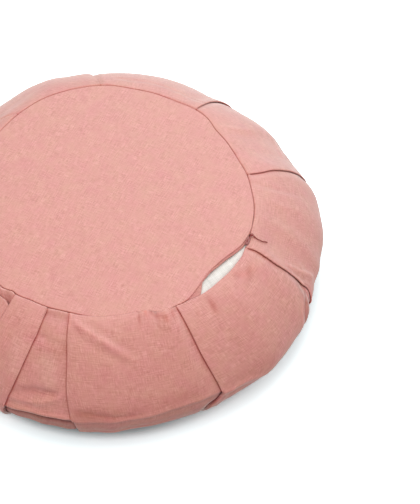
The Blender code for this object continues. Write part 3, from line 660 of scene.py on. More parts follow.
CROWD = 0.55                    # how much closer together a panel's columns are next to its pleats
panel_stops = [stop_pattern(pleat[4], CROWD) for pleat in PLEATS]
LIP_ANGLES = np.radians([90, 58, 26, -8, -45, -90])
BACK_ANGLES = np.radians([90, 145, 200, 270])
LAYER_SHARES = np.array([0.14, 0.32, 0.5, 0.68, 0.86])
LIFT_REACH = 0.95               # share of the take-in over which the middle layer stands off with the lip
UNDER_LIP = 0.8                 # mm past the lip where the lowest layer comes out
UNDER_SHARE = 0.42              # or this share of the way to the next lip, where two lips face each other
RISE_FLAT, RISE_OPEN = 5.0, 12.0           # mm along the band over which a panel rises beside a lip
STAND_REACH = 24.0              # mm over which a lip stands off
RAMP = 7.0                      # mm over which a panel climbs onto the layers at its end
BILLOW, BILLOW_SPAN = 1.6, 100  # mm that a panel stands out between its pleats, if it is at least that wide
GROOVE_FLAT, GROOVE_OPEN, GROOVE_WIDTH = 0.15, 0.35, 0.6   # the crevice beside a lip, in mm
# Painted shade: the colour is deeper in a pleat's crevices, under its lip, in its layers and beside it.
LIP_TONES = (1.0, 1.0, 1.0, 0.92, 0.75, 0.6)    # painted shade, deeper in the crevices
INNER_TONE, EMERGING_TONE, GROOVE_TONE = 0.6, 0.78, 0.8
SEAM_TONES = (0.6, 0.65, 0.76, 0.88, 0.96, 1.0)  # painted shade down the roll into the top seam, from the turned-in edge up
SEAM_PALE = 0.9                 # rows of the roll below this tone get that painted light where the seam is tight
# share by which the roll's painted seam shade is less deep over a pleat's layers
PLEAT_PALER = 0.7
CREVICE_RICHER, SHADE_RICHER = 0.9, 0.5         # painted shade also makes the colour richer, in a crevice and where it is sheltered
LIT_MOST = 1.12                 # and painted light makes it at most this much lighter where a fold is open to the light


def pleat_at(row, number):
    """A pleat on one row: its way, its lip's bearing, and its take-in, stand, pitch and lowest layer (mm)."""
    way, take_flat, take_open, stand_open = PLEATS[number][:4]
    share = openness[row]
    pitch = mix(FLAT_PITCH, OPEN_PITCH, share) * 1000
    low = -pitch * mix(2.0, 1.0, share)
    lip = float(lip_lines[number](row_downs[row]))
    return way, lip, mix(take_flat, take_open, share), stand_open * share, pitch, low


def groove_depth(row):
    return mix(GROOVE_FLAT, GROOVE_OPEN, openness[row])


def plain_radius(row):
    return float(section(row_turns[row], PLAIN_SEAM)[0])


def under_lip(row, number):
    """How far past the lip the lowest layer comes out, in mm."""
    way = PLEATS[number][0]
    facing = (number + way) % len(PLEATS)
    if PLEATS[facing][0] == way:
        return UNDER_LIP
    down = row_downs[row]
    gap = math.radians(abs(float(lip_lines[facing](down) - lip_lines[number](down))))
    return min(UNDER_LIP, UNDER_SHARE * gap * plain_radius(row) * 1000)


def pleat_layers(row, number):
    """Distances clockwise from the lip and offsets, in mm, from the lip's turn to the lowest layer's end."""
    way, _, take, stand, pitch, low = pleat_at(row, number)
    bend = pitch / 2
    lift = stand * smooth_step(1 - take * LAYER_SHARES / (take * LIFT_REACH))
    lip_height = low + 1.5 * pitch + stand
    lip_turn = [(-bend + bend * math.cos(a), lip_height + bend * math.sin(a)) for a in LIP_ANGLES]
    middle = [(-bend - (take - 2 * bend) * s, low + pitch + up) for s, up in zip(LAYER_SHARES, lift)]
    back = [(-take + bend + bend * math.cos(a), low + bend + bend * math.sin(a)) for a in BACK_ANGLES]
    ends = np.append(LAYER_SHARES, 1.0)
    emerges = under_lip(row, number)
    lowest = [(mix(-take + bend, emerges, s), low - groove_depth(row) * s ** 4) for s in ends]
    layers = np.array(lip_turn + middle + back + lowest)
    layers[:, 0] *= way
    return layers if way > 0 else layers[::-1]


def panel_rise(row, number, distance, starts):
    """Height of a panel over the plain band at distances from a pleat at its start or end."""
    way, _, take, stand, pitch, low = pleat_at(row, number)
    on_top = way < 0 if starts else way > 0
    if not on_top:
        groove = groove_depth(row) * np.exp(-(distance / GROOVE_WIDTH) ** 2)
        return low * smooth_step(1 - distance / mix(RISE_FLAT, RISE_OPEN, openness[row])) - groove
    over = (low + 2 * pitch) * smooth_step((take + RAMP - distance) / RAMP)
    return over + stand * smooth_step(1 - distance / STAND_REACH)


def band_row(row):
    """Bearings, offsets (mm) and tones of painted shade once round the band on one row."""
    bearings, offsets, tones = [], [], []
    degrees = math.degrees(1 / plain_radius(row)) / 1000
    for number in range(len(PLEATS)):
        following = (number + 1) % len(PLEATS)
        lap = 360 if following == 0 else 0
        layers = pleat_layers(row, number)
        lip = pleat_at(row, number)[1]
        bearings.append(lip + layers[:, 0] * degrees)
        offsets.append(layers[:, 1])
        begin = bearings[-1][-1]
        end = pleat_at(row, following)[1] + lap + pleat_layers(row, following)[0, 0] * degrees
        stops = panel_stops[number]
        span = (end - begin) / degrees
        from_start, from_end = stops * span, (1 - stops) * span
        rise = panel_rise(row, number, from_start, True) + panel_rise(row, following, from_end, False)
        # Painted shade on the pleat's layers and in the crevice beside its lip.
        folded = list(LIP_TONES) + [INNER_TONE] * (len(layers) - len(LIP_TONES) - 1) + [EMERGING_TONE]
        tones.append(folded if PLEATS[number][0] > 0 else folded[::-1])
        from_crevice = from_start if PLEATS[number][0] > 0 else np.full(len(stops), np.inf)
        if PLEATS[following][0] < 0:
            from_crevice = np.minimum(from_crevice, from_end)
        tones.append(1 - (1 - GROOVE_TONE) * np.exp(-(from_crevice / GROOVE_WIDTH) ** 2))
        bearings.append(mix(begin, end, stops))
        billow = BILLOW * openness[row] * np.sin(np.pi * stops) * min(span / BILLOW_SPAN, 1)
        offsets.append(rise + billow)
    return np.concatenate(bearings), np.concatenate(offsets), np.concatenate(tones)


def column_kinds():
    """For each column the number of its pleat or panel, and whether it is in a panel."""
    numbers, in_panel = [], []
    layers = len(pleat_layers(0, 0))
    for number, stops in enumerate(panel_stops):
        numbers += [number] * (layers + len(stops))
        in_panel += [False] * layers + [True] * len(stops)
    return np.array(numbers), np.array(in_panel)


column_number, column_in_panel = column_kinds()
# In the top seam the panels, and the lowest layers' ends, rise to the stitching beside a pleat.
RISEN = 0.25
column_rises = column_in_panel | np.roll(column_in_panel, 1) | np.roll(column_in_panel, -1)
grid_bearing, grid_offset, grid_tone = (
    np.array(made) for made in zip(*[band_row(row) for row in range(len(band_rows))])
)
grid_offset = grid_offset / 1000
# Painted shade also makes the colour richer.
grid_rich = 1 + CREVICE_RICHER * (1 - grid_tone)
grid_down = np.repeat(row_downs[:, None], grid_bearing.shape[1], 1)
grid_radius = section(row_turns[:, None], band_edge(grid_bearing) + SEAM_GAP)[0]


def near_line(points, half_width):
    """The value given with a line's points, over the grid: its own on the line, fading to both sides."""
    best = np.full(grid_bearing.shape, np.inf)
    value = np.zeros(grid_bearing.shape)
    metres = np.radians(1) * grid_radius * 1000
    for (b0, d0, v0), (b1, d1, v1) in zip(points, points[1:]):
        along_x, along_y = (b1 - b0) * metres, d1 - d0
        off_x, off_y = (grid_bearing - b0) * metres, grid_down - d0
        share = np.clip((off_x * along_x + off_y * along_y) / (along_x ** 2 + along_y ** 2), 0, 1)
        away = np.hypot(off_x - share * along_x, off_y - share * along_y)
        nearer = away < best
        best = np.where(nearer, away, best)
        value = np.where(nearer, mix(v0, v1, share), value)
    return value * np.exp(-(best / half_width) ** 2)


def panel_share(panel):
    """1 on a panel and on the pleat layers under or over which it lies, 0 on the rest of the band."""
    share = np.zeros(grid_bearing.shape)
    share[:, column_number == panel] = 1.0
    following = (panel + 1) % len(PLEATS)
    share[:, (column_number == following) & ~column_in_panel] = 1.0
    return share


def on_panel(panel, half_width, points):
    """A row of a table of lines, over the grid."""
    return panel_share(panel) * near_line(points, half_width)


creasing = np.zeros(grid_bearing.shape)
for crease in CREASES:
    creasing += on_panel(*crease)
# Painted light and shade by the creases' height: paler on a ridge, deeper in a trough.
grid_tone *= np.clip(1 + CREASE_TONE * creasing, CREASE_DARKEST, CREASE_PALEST)
# Painted shade along each line, and painted light where its share is below 0.
for shade in PAINTED_SHADES:
    sheltered = on_panel(*shade)
    grid_tone = np.minimum(grid_tone * (1 - sheltered), np.maximum(grid_tone, LIT_MOST))
    grid_rich = 1 + (grid_rich - 1) * np.clip(1 + sheltered, 0, 1)
    grid_rich *= 1 + SHADE_RICHER * np.maximum(sheltered, 0)
# Painted bounce light makes the colour richer along each line.
for bounce_line in PAINTED_BOUNCE:
    grid_rich *= 1 + on_panel(*bounce_line)
for panel, wall, fall, wall_shade, gap_shade, ledge_points in LEDGES:
    beyond = grid_down - np.interp(grid_bearing, *zip(*sorted(ledge_points)))
    turned = wall * smooth_step(beyond / WALL_WIDTH) + fall * np.clip(beyond / FALL_WIDTH, 0, 1)
    creasing -= panel_share(panel) * turned * smooth_step((BAND_DEPTH - grid_down) / LEDGE_FADE)
    in_gap = np.exp(-((beyond - (GAP_SLOPE * wall + GAP_BELOW)) / GAP_WIDTH) ** 2)
    # Painted shade below the ledge and in its gap.
    grid_tone *= 1 - panel_share(panel) * (wall_shade * smooth_step(beyond / WALL_WIDTH) + gap_shade * in_gap)
outline_out = smooth_curve(*zip(*OUTLINE), 360)
outline_share = smooth_step(grid_down / OUTLINE_TOP)
creasing += outline_out(grid_bearing) * outline_share * smooth_step((BAND_DEPTH - grid_down) / OUTLINE_BOTTOM)
grid_offset += creasing / 1000

# The rumpling is the same for all layers of a pleat, so that none cuts another.
plain_height = np.broadcast_to(section(row_turns[:, None], PLAIN_SEAM)[1], grid_bearing.shape)
rumple_share = smooth_step(np.minimum(grid_down, BAND_DEPTH - grid_down) / RUMPLE_CLEAR)
rumple_spots = at(grid_bearing, grid_radius, plain_height)
for place in np.ndindex(grid_bearing.shape):
    spot = Vector(rumple_spots[place])
    rumpling = sum(height * noise.noise(spot * fineness) for height, fineness in RUMPLES)
    grid_offset[place] += rumpling * rumple_share[place]

OVER_BACK, OVER_FRONT = 4, 10   # mm by which a pleat thickens the seam behind its layers and before its lip
OVER_FADE = 3                   # degrees over which that begins and ends


def over_pleat(bearing):
    """How far a place along the top seam lies over a pleat's layers, from 0 to 1."""
    share = np.zeros(np.shape(bearing))
    for way, take, _, _, _, line in PLEATS:
        back = line[0][1] - way * (take + OVER_BACK) / SEAM_DEGREE
        front = line[0][1] + way * OVER_FRONT / SEAM_DEGREE
        low, high = min(back, front), max(back, front)
        middle, half = (low + high) / 2, (high - low) / 2
        away = np.abs((bearing - middle + 180) % 360 - 180)
        share = np.maximum(share, smooth_step((half - away) / OVER_FADE + 0.5))
    return share


def seam_tightness(bearing):
    return np.interp(bearing % 360, *zip(*TIGHT_SEAM))


def seam_tones(tone, bearing):
    """The painted shade on a roll into the top seam. It is less deep over pleats, and painted light makes it
    paler where the seam is tight.
    """
    loosened = mix(tone, 1.0, PLEAT_PALER * over_pleat(bearing))
    return mix(loosened, TIGHT_TONE if tone < SEAM_PALE else 1.0, seam_tightness(bearing))


# Painted shade, and painted light where the seam is tight, down the roll into the top seam.
for row, seam_tone in enumerate(SEAM_TONES):
    row_tones = seam_tones(seam_tone, grid_bearing[row])
    grid_tone[row] *= row_tones
    grid_rich[row] *= 1 + CREVICE_RICHER * (1 - row_tones)

NORMAL_STEP = 0.6               # degrees of turn to both sides, for the cloth's slope on a row


def row_points(row):
    """The places of one row of the middle of the cloth."""
    kind, angle, allowance = band_rows[row]
    bearing, offset = grid_bearing[row], grid_offset[row]
    edge = band_edge(bearing) + SEAM_GAP
    if kind == "main":
        turn = row_turns[row]
        radius, height = section(turn, edge)
        r0, z0 = section(turn - NORMAL_STEP, edge)
        r1, z1 = section(turn + NORMAL_STEP, edge)
        length = np.hypot(r1 - r0, z1 - z0)
        out, up = (z0 - z1) / length, (r1 - r0) / length
    else:
        top = kind == "top"
        zipped = within(bearing, *ZIP_CLOSED, ZIP_FADE) if top else 0.0
        roll = np.maximum(mix(SEAM_ROLL, PLEAT_ROLL, over_pleat(bearing)), mix(SEAM_ROLL, ZIP_ROLL, zipped))
        if top:
            roll = mix(roll, TIGHT_ROLL, seam_tightness(bearing))
            offset = np.where((offset < 0) & column_rises, offset * RISEN, offset)
        way = 1 if top else -1
        start = edge if top else np.full_like(edge, BOTTOM_SEAM_RADIUS + SEAM_GAP)
        level = TOP_SEAM_HEIGHT if top else BOTTOM_SEAM_HEIGHT
        out, up = -math.sin(math.radians(angle)), way * math.cos(math.radians(angle))
        radius = start + roll + roll * out
        height = level - way * roll + roll * up - way * allowance
    return at(bearing, radius + out * offset, height + up * offset)


middle_points = np.array([row_points(row) for row in range(len(band_rows))])


def sheet_normals(grid):
    """Outward normals of a grid that is closed along its rows."""
    along = np.roll(grid, -1, 1) - np.roll(grid, 1, 1)
    down = np.gradient(grid, axis=0)
    normals = np.cross(along, down)
    return normals / np.maximum(np.linalg.norm(normals, axis=2, keepdims=True), 1e-12)


def cloth_map(grid):
    """Places on the flat cloth for a grid: along the strip and down it, in metres. The last column is the
    first one again, a lap further on. What two rows differ by is taken up in the pleats' middle layers."""
    closed = np.concatenate([grid, grid[:, :1]], 1)
    steps = np.linalg.norm(np.diff(closed, axis=1), axis=2)
    along = np.concatenate([np.zeros((len(grid), 1)), np.cumsum(steps, 1)], 1)
    shift = np.zeros_like(along)
    columns = np.arange(along.shape[1])
    anchors, moves = [0], [np.zeros(len(grid))]
    middle_start = len(LIP_ANGLES)
    middle_end = middle_start + len(LAYER_SHARES)
    for number in range(len(PLEATS)):
        own = np.where((column_number == number) & column_in_panel)[0]
        centre = own[len(own) // 2]
        move = along[:, centre].mean() - along[:, centre]
        layers = np.where((column_number == number) & ~column_in_panel)[0]
        anchors += [layers[middle_start], layers[middle_end]]
        moves += [moves[-1], move]
    anchors.append(columns[-1])
    moves.append(moves[-1])
    for row in range(len(grid)):
        shift[row] = np.interp(columns, anchors, [move[row] for move in moves])
    down = np.linalg.norm(np.diff(grid, axis=0), axis=2).mean(1)
    depth = np.concatenate([[0], np.cumsum(down)])
    return along + shift, depth


def lay_on_cloth(piece, places):
    """Stores for each corner of a piece's faces its place on the flat cloth, which the weave follows."""
    layer = piece.data.uv_layers.new(name="cloth")
    layer.data.foreach_set("uv", np.array(places, np.float32).ravel())


def two_sided(name, middle, thickness, along, depth, finish):
    """A closed sheet from a grid closed along its rows. Its inner side has every other row and column."""
    normals = sheet_normals(middle)
    rows, columns = middle.shape[:2]
    outer = middle + normals * thickness / 2
    inner = (middle - normals * thickness / 2)[::2, ::2]
    inner_rows, inner_columns = inner.shape[:2]
    points = np.concatenate([outer.reshape(-1, 3), inner.reshape(-1, 3)])
    base = rows * columns
    faces, places = [], []

    def outer_point(i, j):
        return i * columns + j % columns, (along[i, j], depth[i])

    def inner_point(i, j):
        return base + i * inner_columns + j % inner_columns, (along[2 * i, 2 * j], depth[2 * i])

    def add(*corners):
        faces.append(tuple(corner[0] for corner in corners))
        places.extend(corner[1] for corner in corners)

    for i in range(rows - 1):
        for j in range(columns):
            add(outer_point(i, j), outer_point(i, j + 1), outer_point(i + 1, j + 1), outer_point(i + 1, j))
    for i in range(inner_rows - 1):
        for j in range(inner_columns):
            add(inner_point(i, j), inner_point(i + 1, j), inner_point(i + 1, j + 1), inner_point(i, j + 1))
    for j in range(inner_columns):
        for i, k, turned in ((0, 0, True), (rows - 1, inner_rows - 1, False)):
            a, b, c = outer_point(i, 2 * j), outer_point(i, 2 * j + 1), outer_point(i, 2 * j + 2)
            d, e = inner_point(k, j), inner_point(k, j + 1)
            for corners in ((a, b, d), (b, e, d), (b, c, e)):
                add(*(corners if turned else reversed(corners)))
    piece = new_piece(name, points, faces, finish)
    lay_on_cloth(piece, places)
    return piece


def give_painted_light_and_shade(piece, tones, richness):
    """Stores for each point the painted light and shade: how light (tone) and how rich the colour is. 1 is
    plain.
    """
    for name, values in (("tone", tones), ("richness", richness)):
        stored = piece.data.attributes.new(name, "FLOAT", "POINT")
        stored.data.foreach_set("value", np.array(values, np.float32))


linen = woven("pink washed linen", LINEN, LINEN_THREAD, contrast=0.40, relief=0.00016, mottle=0.06,
              toned=True, looks=LINEN_LOOKS)
band = two_sided("side_band_linen", middle_points, CLOTH, *cloth_map(middle_points), linen)
give_painted_light_and_shade(band, *(np.concatenate([grid.ravel(), grid[::2, ::2].ravel()]) for grid in (grid_tone, grid_rich)))
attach(band, "root")
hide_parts("side_band")

# ------------------------------------------------------------------------------------------------------------
# Round panels: discs of the same linen. The top one is crowned by the filling and the bottom one lies flat.
# Their edges are turned down into the seams, and at the zip the top one's edge is turned under.
PANEL_ROLL = 0.0005
PANEL_TURNED_IN = 0.0030
ROLL_TONES = (0.99, 0.93, 0.86, 0.77, 0.67, 0.6, 0.6)        # painted shade, deeper into the seam
PANEL_RUMPLE, PANEL_RUMPLE_FINENESS = 0.00025, 42.0
RUMPLE_EDGE = 0.08              # share of the seam's radius over which the rumpling fades out
SLIT_START, SLIT_END = 107.0, 148.0        # bearings between which the zip is open
PANEL_CROWN = panel_high.z - TOP_SEAM_HEIGHT - FRAME_CLOTH / 2
PANEL_SEGMENTS = 320
PANEL_SHARES = np.concatenate([np.linspace(0.03, 0.92, 34), np.linspace(0.94, 1.0, 6)])
ROLL_SHARES, HEM_SHARES = (0.2, 0.4, 0.6, 0.8, 1.0), (0.4, 1.0)
WARP_TURN = math.radians(65)    # of the top panel's threads, from +X
BOTTOM_FLAT_RADIUS = 0.108
BOTTOM_RISE = 1.5               # how gently the bottom panel rises from there to its seam


def folded_under(bearing):
    """1 along the open zip, where the top panel's edge is folded under itself, and 0 in the seam."""
    return within(bearing, SLIT_START, SLIT_END, ZIP_FADE)


def round_panel(name, edge, level, under, way, thickness, finish):
    """A round sheet. Its rim is rolled down (way 1) or up (way -1) through a quarter turn, and turned in.
    Where under is 1 it is rolled through a half turn, and its hem lies flat beneath it."""
    bearings = np.arange(PANEL_SEGMENTS) * 360 / PANEL_SEGMENTS
    rim = edge(bearings)
    rings, normals = [], []
    roll = mix(PANEL_ROLL, TIGHT_ROLL, seam_tightness(bearings) if way > 0 else 0.0)
    for share in PANEL_SHARES:
        rings.append(((rim - roll) * share, level(share)))
        normals.append((0.0, float(way)))
    half_or_quarter = np.radians(90 + 90 * under(bearings))
    for share in ROLL_SHARES:
        angle = half_or_quarter * share
        radius = rim - roll + roll * np.sin(angle)
        rings.append((radius, level(1.0) - way * roll * (1 - np.cos(angle))))
        normals.append((np.sin(angle), way * np.cos(angle)))
    end_radius, end_height = rings[-1]
    for share in HEM_SHARES:
        hem = PANEL_TURNED_IN * share
        height = end_height - way * hem * np.sin(half_or_quarter)
        rings.append((end_radius + hem * np.cos(half_or_quarter), height))
        normals.append(normals[-1])
    count = PANEL_SEGMENTS
    points = []
    for half in (thickness / 2, -thickness / 2):
        points.append(np.array([[0, 0, level(0.0) + way * half]]))
        for (radius, height), (out, up) in zip(rings, normals):
            points.append(at(bearings, radius + out * half, height + up * half))
    points = np.concatenate(points)
    below = 1 + len(rings) * count
    faces = []
    for j in range(count):
        k = (j + 1) % count
        faces.append((0, 1 + k, 1 + j))
        faces.append((below, below + 1 + j, below + 1 + k))
        for i in range(len(rings) - 1):
            a, b = 1 + i * count, 1 + (i + 1) * count
            faces.append((a + j, a + k, b + k, b + j))
            faces.append((below + a + j, below + b + j, below + b + k, below + a + k))
        rim_at = 1 + (len(rings) - 1) * count
        faces.append((rim_at + j, rim_at + k, below + rim_at + k, below + rim_at + j))
    if way < 0:
        faces = [tuple(reversed(face)) for face in faces]
    else:
        for point in points:
            inside = smooth_step((np.hypot(point[0], point[1]) / BOTTOM_SEAM_RADIUS - 1) / -RUMPLE_EDGE)
            rumpling = noise.noise(Vector((point[0], point[1], 0)) * PANEL_RUMPLE_FINENESS)
            point[2] += PANEL_RUMPLE * rumpling * inside
    piece = new_piece(name, points, faces, finish)
    x, y = points[:, 0], points[:, 1]
    along, aside = math.cos(WARP_TURN), math.sin(WARP_TURN)
    places = np.stack([x * along + y * aside, y * along - x * aside], 1)
    lay_on_cloth(piece, places[[corner for face in faces for corner in face]])
    # Painted shade down the roll into the seam, none where the edge is folded under.
    tones = [np.ones(1 + len(PANEL_SHARES) * count)]
    tones += [mix(seam_tones(tone, bearings), 1.0, under(bearings)) for tone in ROLL_TONES]
    tones = np.concatenate(tones + tones)
    give_painted_light_and_shade(piece, tones, 1 + CREVICE_RICHER * (1 - tones))
    return piece


def top_edge(bearings):
    return panel_edge(bearings) - SEAM_GAP


def bottom_edge(bearings):
    return np.full(len(bearings), BOTTOM_SEAM_RADIUS - SEAM_GAP)


def top_level(share):
    return TOP_SEAM_HEIGHT + PANEL_CROWN * (1 - share ** CROWN_POWER)


def bottom_level(share):
    out = max(share * BOTTOM_SEAM_RADIUS - BOTTOM_FLAT_RADIUS, 0)
    rise = (out / (BOTTOM_SEAM_RADIUS - BOTTOM_FLAT_RADIUS)) ** BOTTOM_RISE
    return CLOTH / 2 + (BOTTOM_SEAM_HEIGHT - CLOTH / 2) * rise


top_panel = round_panel("top_panel_linen", top_edge, top_level, folded_under, 1, CLOTH, linen)
bottom_panel = round_panel("bottom_panel_linen", bottom_edge, bottom_level, np.zeros_like, -1, CLOTH, linen)
for panel, node in ((top_panel, "top_panel"), (bottom_panel, "bottom_panel")):
    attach(panel, "root")
    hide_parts(node)

# ------------------------------------------------------------------------------------------------------------
# Zip tape: a woven strip, darker than the linen, sewn under the top panel's folded edge. Its coil of fine
# teeth is a bead along the strip's outer side. Where the slit closes at its left end, the flat tape fills it.
TAPE_START, TAPE_END = 105.0, 147.2        # bearings
TAPE_STEPS = 330
TAPE_TUCK = 0.0045                         # how far it reaches under the panel
TAPE_THICKNESS = 0.0006
TAPE_DROP = 0.0012                         # its upper side below the seam's level
TAPE_CLEAR = 0.0004                        # how far it stays from the band's edge
TAPE_MEAN_RADIUS = 0.125                   # along which its threads are counted
TAPE_SHOWS = ((104, 0.4), (109, 0.8), (113, 2.1), (120, 2.2), (127, 2.0), (132, 1.3), (136, 0.9), (149, 0.9))
COIL_HEIGHT = 0.0010
COIL_PITCH_STEPS = 3                       # steps from one tooth to the next
COIL_MIDDLE, COIL_RIPPLE = 0.75, 0.25      # shares of that height: its mean, and a tooth's rise over it
COIL_SECTION = (
    # metres in from the tape's outer side, share of the coil's height
    (0.0021, 0.2), (0.0014, 0.85), (0.0008, 1.0), (0.0003, 0.75), (0.0, 0.15),
)
TAPE_CORNER = ((0.0001, 0.0001), (0.0005, 0.0))            # in from its outer side, up from its lower side
FILL_FROM, FILL_SLOPE = 136.8, 0.0013      # the tape widens from this bearing on, by so many metres a degree
FILL_FADE = 2.0                            # degrees round that bearing over which the coil ends
TAPE_PINK = (0.61, 0.262, 0.222, 1.0)
TAPE_THREAD = 0.0004

tape_shows = smooth_curve([row[0] for row in TAPE_SHOWS], [row[1] / 1000 for row in TAPE_SHOWS])


def tape_section(bearing, step):
    """Distances from the middle and heights round the tape's section."""
    panel = float(panel_edge(bearing))
    reach = panel + float(tape_shows(bearing)) + max(bearing - FILL_FROM, 0) * FILL_SLOPE
    outer = min(reach, float(band_edge(bearing)) - TAPE_CLEAR)
    inner = panel - TAPE_TUCK
    middle = mix(inner, outer, 0.5)
    top = TOP_SEAM_HEIGHT - TAPE_DROP
    low = top - TAPE_THICKNESS
    coiled = 1 - float(smooth_step((bearing - FILL_FROM + FILL_FADE / 2) / FILL_FADE))
    tooth = COIL_MIDDLE + COIL_RIPPLE * math.cos(2 * math.pi * step / COIL_PITCH_STEPS)
    bead = COIL_HEIGHT * coiled * tooth
    coil = [(outer - back, top + bead * share) for back, share in COIL_SECTION]
    corner = [(outer - back, low + up) for back, up in TAPE_CORNER]
    return [(inner, top), (middle, top)] + coil + corner + [(middle, low), (inner, low)]


tape_points, tape_places = [], []
for step in range(TAPE_STEPS + 1):
    bearing = mix(TAPE_START, TAPE_END, step / TAPE_STEPS)
    ring = tape_section(bearing, step)
    tape_points += [at(bearing, radius, height) for radius, height in ring]
    tape_places += [(math.radians(bearing) * TAPE_MEAN_RADIUS, radius) for radius, _ in ring]
ring_size = len(ring)
last_ring = TAPE_STEPS * ring_size
tape_faces = [tuple(range(ring_size)), tuple(last_ring + k for k in reversed(range(ring_size)))]
for a in range(0, last_ring, ring_size):
    b = a + ring_size
    for k in range(ring_size):
        m = (k + 1) % ring_size
        tape_faces.append((a + k, b + k, b + m, a + m))
tape_cloth = woven("zip tape", TAPE_PINK, TAPE_THREAD, contrast=0.45, relief=0.00010, mottle=0.03)
tape = new_piece("zip_tape_strip", tape_points, tape_faces, tape_cloth)
lay_on_cloth(tape, [tape_places[corner] for face in tape_faces for corner in face])
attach(tape, "root")
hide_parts("zip_tape")

# ------------------------------------------------------------------------------------------------------------
# Zip slider: die-cast metal in rose enamel, two plates on a neck with the coils running between them, and an
# arched bridge that the pull hangs from. It sits in the slit's right end.
SLIDER_BEARING, SLIDER_RADIUS = 110.7, 0.1303
SLIDER_TURN = math.radians(2)              # from the seam's own direction
SLIDER_LENGTH, SLIDER_WIDTH = 0.0082, 0.0036
PLATE, NECK = 0.0007, 0.0007               # heights
SLIDER_PLATES = (
    # length, width, height, level of its base
    (SLIDER_LENGTH, SLIDER_WIDTH, PLATE, 0.0),
    (SLIDER_LENGTH * 0.5, SLIDER_WIDTH * 0.35, NECK + 0.0002, PLATE - 0.0001),
    (SLIDER_LENGTH * 0.94, SLIDER_WIDTH * 0.86, PLATE, PLATE + NECK),
)
SLIDER_BEVEL, BEVEL_MOST = 0.00025, 0.4    # and the most it may be, as a share of a plate's height
NOSE_SHARE, TAIL_SHARE = 0.78, 0.86        # how much narrower a plate's two ends are
END_FROM = 0.45                            # share of the length from the middle to where an end begins
BRIDGE_RADIUS, BRIDGE_WIRE = 0.0015, 0.00042
BRIDGE_PLACE = (0.0002, 0, 2 * PLATE + NECK - 0.0006)
ROSE_ENAMEL = (0.29, 0.060, 0.052, 1.0)
BARE_METAL = (0.85, 0.60, 0.58, 1.0)
SCRATCH_FINENESS, SCRATCHES = (900.0, 900.0, 2600.0), 1.2
WEAR, WEAR_FROM, WEAR_MOST = 9.0, -5.65, 0.4     # on edges: how sharply it sets in, from where, and the most
ENAMEL_GLOSS = (0.25, 0.45)                # roughness: how much the scratches vary it, and its least
slider_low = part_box("zip_slider")[0]

enamel, enamel_shader, enamel_place = new_finish("rose enamel", {"Specular IOR Level": 0.2})
scratches = noise_at(enamel_place, SCRATCH_FINENESS, 3.0)
edges = add_node(enamel.node_tree, "NewGeometry").outputs["Pointiness"]
worn = maths("MULTIPLY_ADD", scratches, SCRATCHES, maths("MULTIPLY_ADD", edges, WEAR, WEAR_FROM))
worn = maths("MINIMUM", maths("MAXIMUM", worn, 0.0), WEAR_MOST)
feed(enamel_shader, {
    "Base Color": mixed_colour(worn, ROSE_ENAMEL, BARE_METAL),
    "Roughness": maths("MULTIPLY_ADD", scratches, *ENAMEL_GLOSS),
})


def slider_plate(length, width, height, level):
    """A small plate with narrower ends and rounded edges, its base at a level over the slider's base."""
    bpy.ops.mesh.primitive_cube_add(size=1, location=(0, 0, level + height / 2))
    plate = bpy.context.object
    bpy.ops.object.mode_set(mode="EDIT")
    bpy.ops.transform.resize(value=(length, width, height))
    bpy.ops.mesh.subdivide(number_cuts=2)
    bpy.ops.mesh.select_mode(type="VERT")
    for end, share in ((-1, NOSE_SHARE), (1, TAIL_SHARE)):
        bpy.ops.mesh.select_all(action="DESELECT")
        bpy.ops.object.mode_set(mode="OBJECT")
        for vertex in plate.data.vertices:
            vertex.select = vertex.co.x * end > length * END_FROM
        bpy.ops.object.mode_set(mode="EDIT")
        bpy.ops.transform.resize(value=(1, share, 1))
    bpy.ops.object.mode_set(mode="OBJECT")
    rounded = plate.modifiers.new("rounded", "BEVEL")
    rounded.width = min(SLIDER_BEVEL, height * BEVEL_MOST)
    rounded.segments = 3
    rounded.limit_method = "ANGLE"
    bpy.ops.object.modifier_apply(modifier=rounded.name)
    return plate


slider_parts = [slider_plate(*plate) for plate in SLIDER_PLATES]
bpy.ops.mesh.primitive_torus_add(major_radius=BRIDGE_RADIUS, minor_radius=BRIDGE_WIRE, major_segments=32,
                                 minor_segments=12, location=BRIDGE_PLACE, rotation=(math.pi / 2, 0, 0))
slider_parts.append(bpy.context.object)
for part in slider_parts:
    part.select_set(True)
bpy.context.view_layer.objects.active = slider_parts[0]
bpy.ops.object.join()
slider = bpy.context.object
slider.name = "slider_body"
slider.data.materials.clear()
slider.data.materials.append(enamel)
slider.location = tuple(at(SLIDER_BEARING, SLIDER_RADIUS, slider_low.z))
slider.rotation_euler = (0, 0, -math.radians(SLIDER_BEARING) + SLIDER_TURN)
bpy.ops.object.transform_apply(location=True, rotation=True, scale=True)
slider.data.shade_smooth()
bpy.ops.object.shade_smooth_by_angle(angle=math.radians(40))
slider.select_set(False)
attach(slider, "root")
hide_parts("zip_slider")

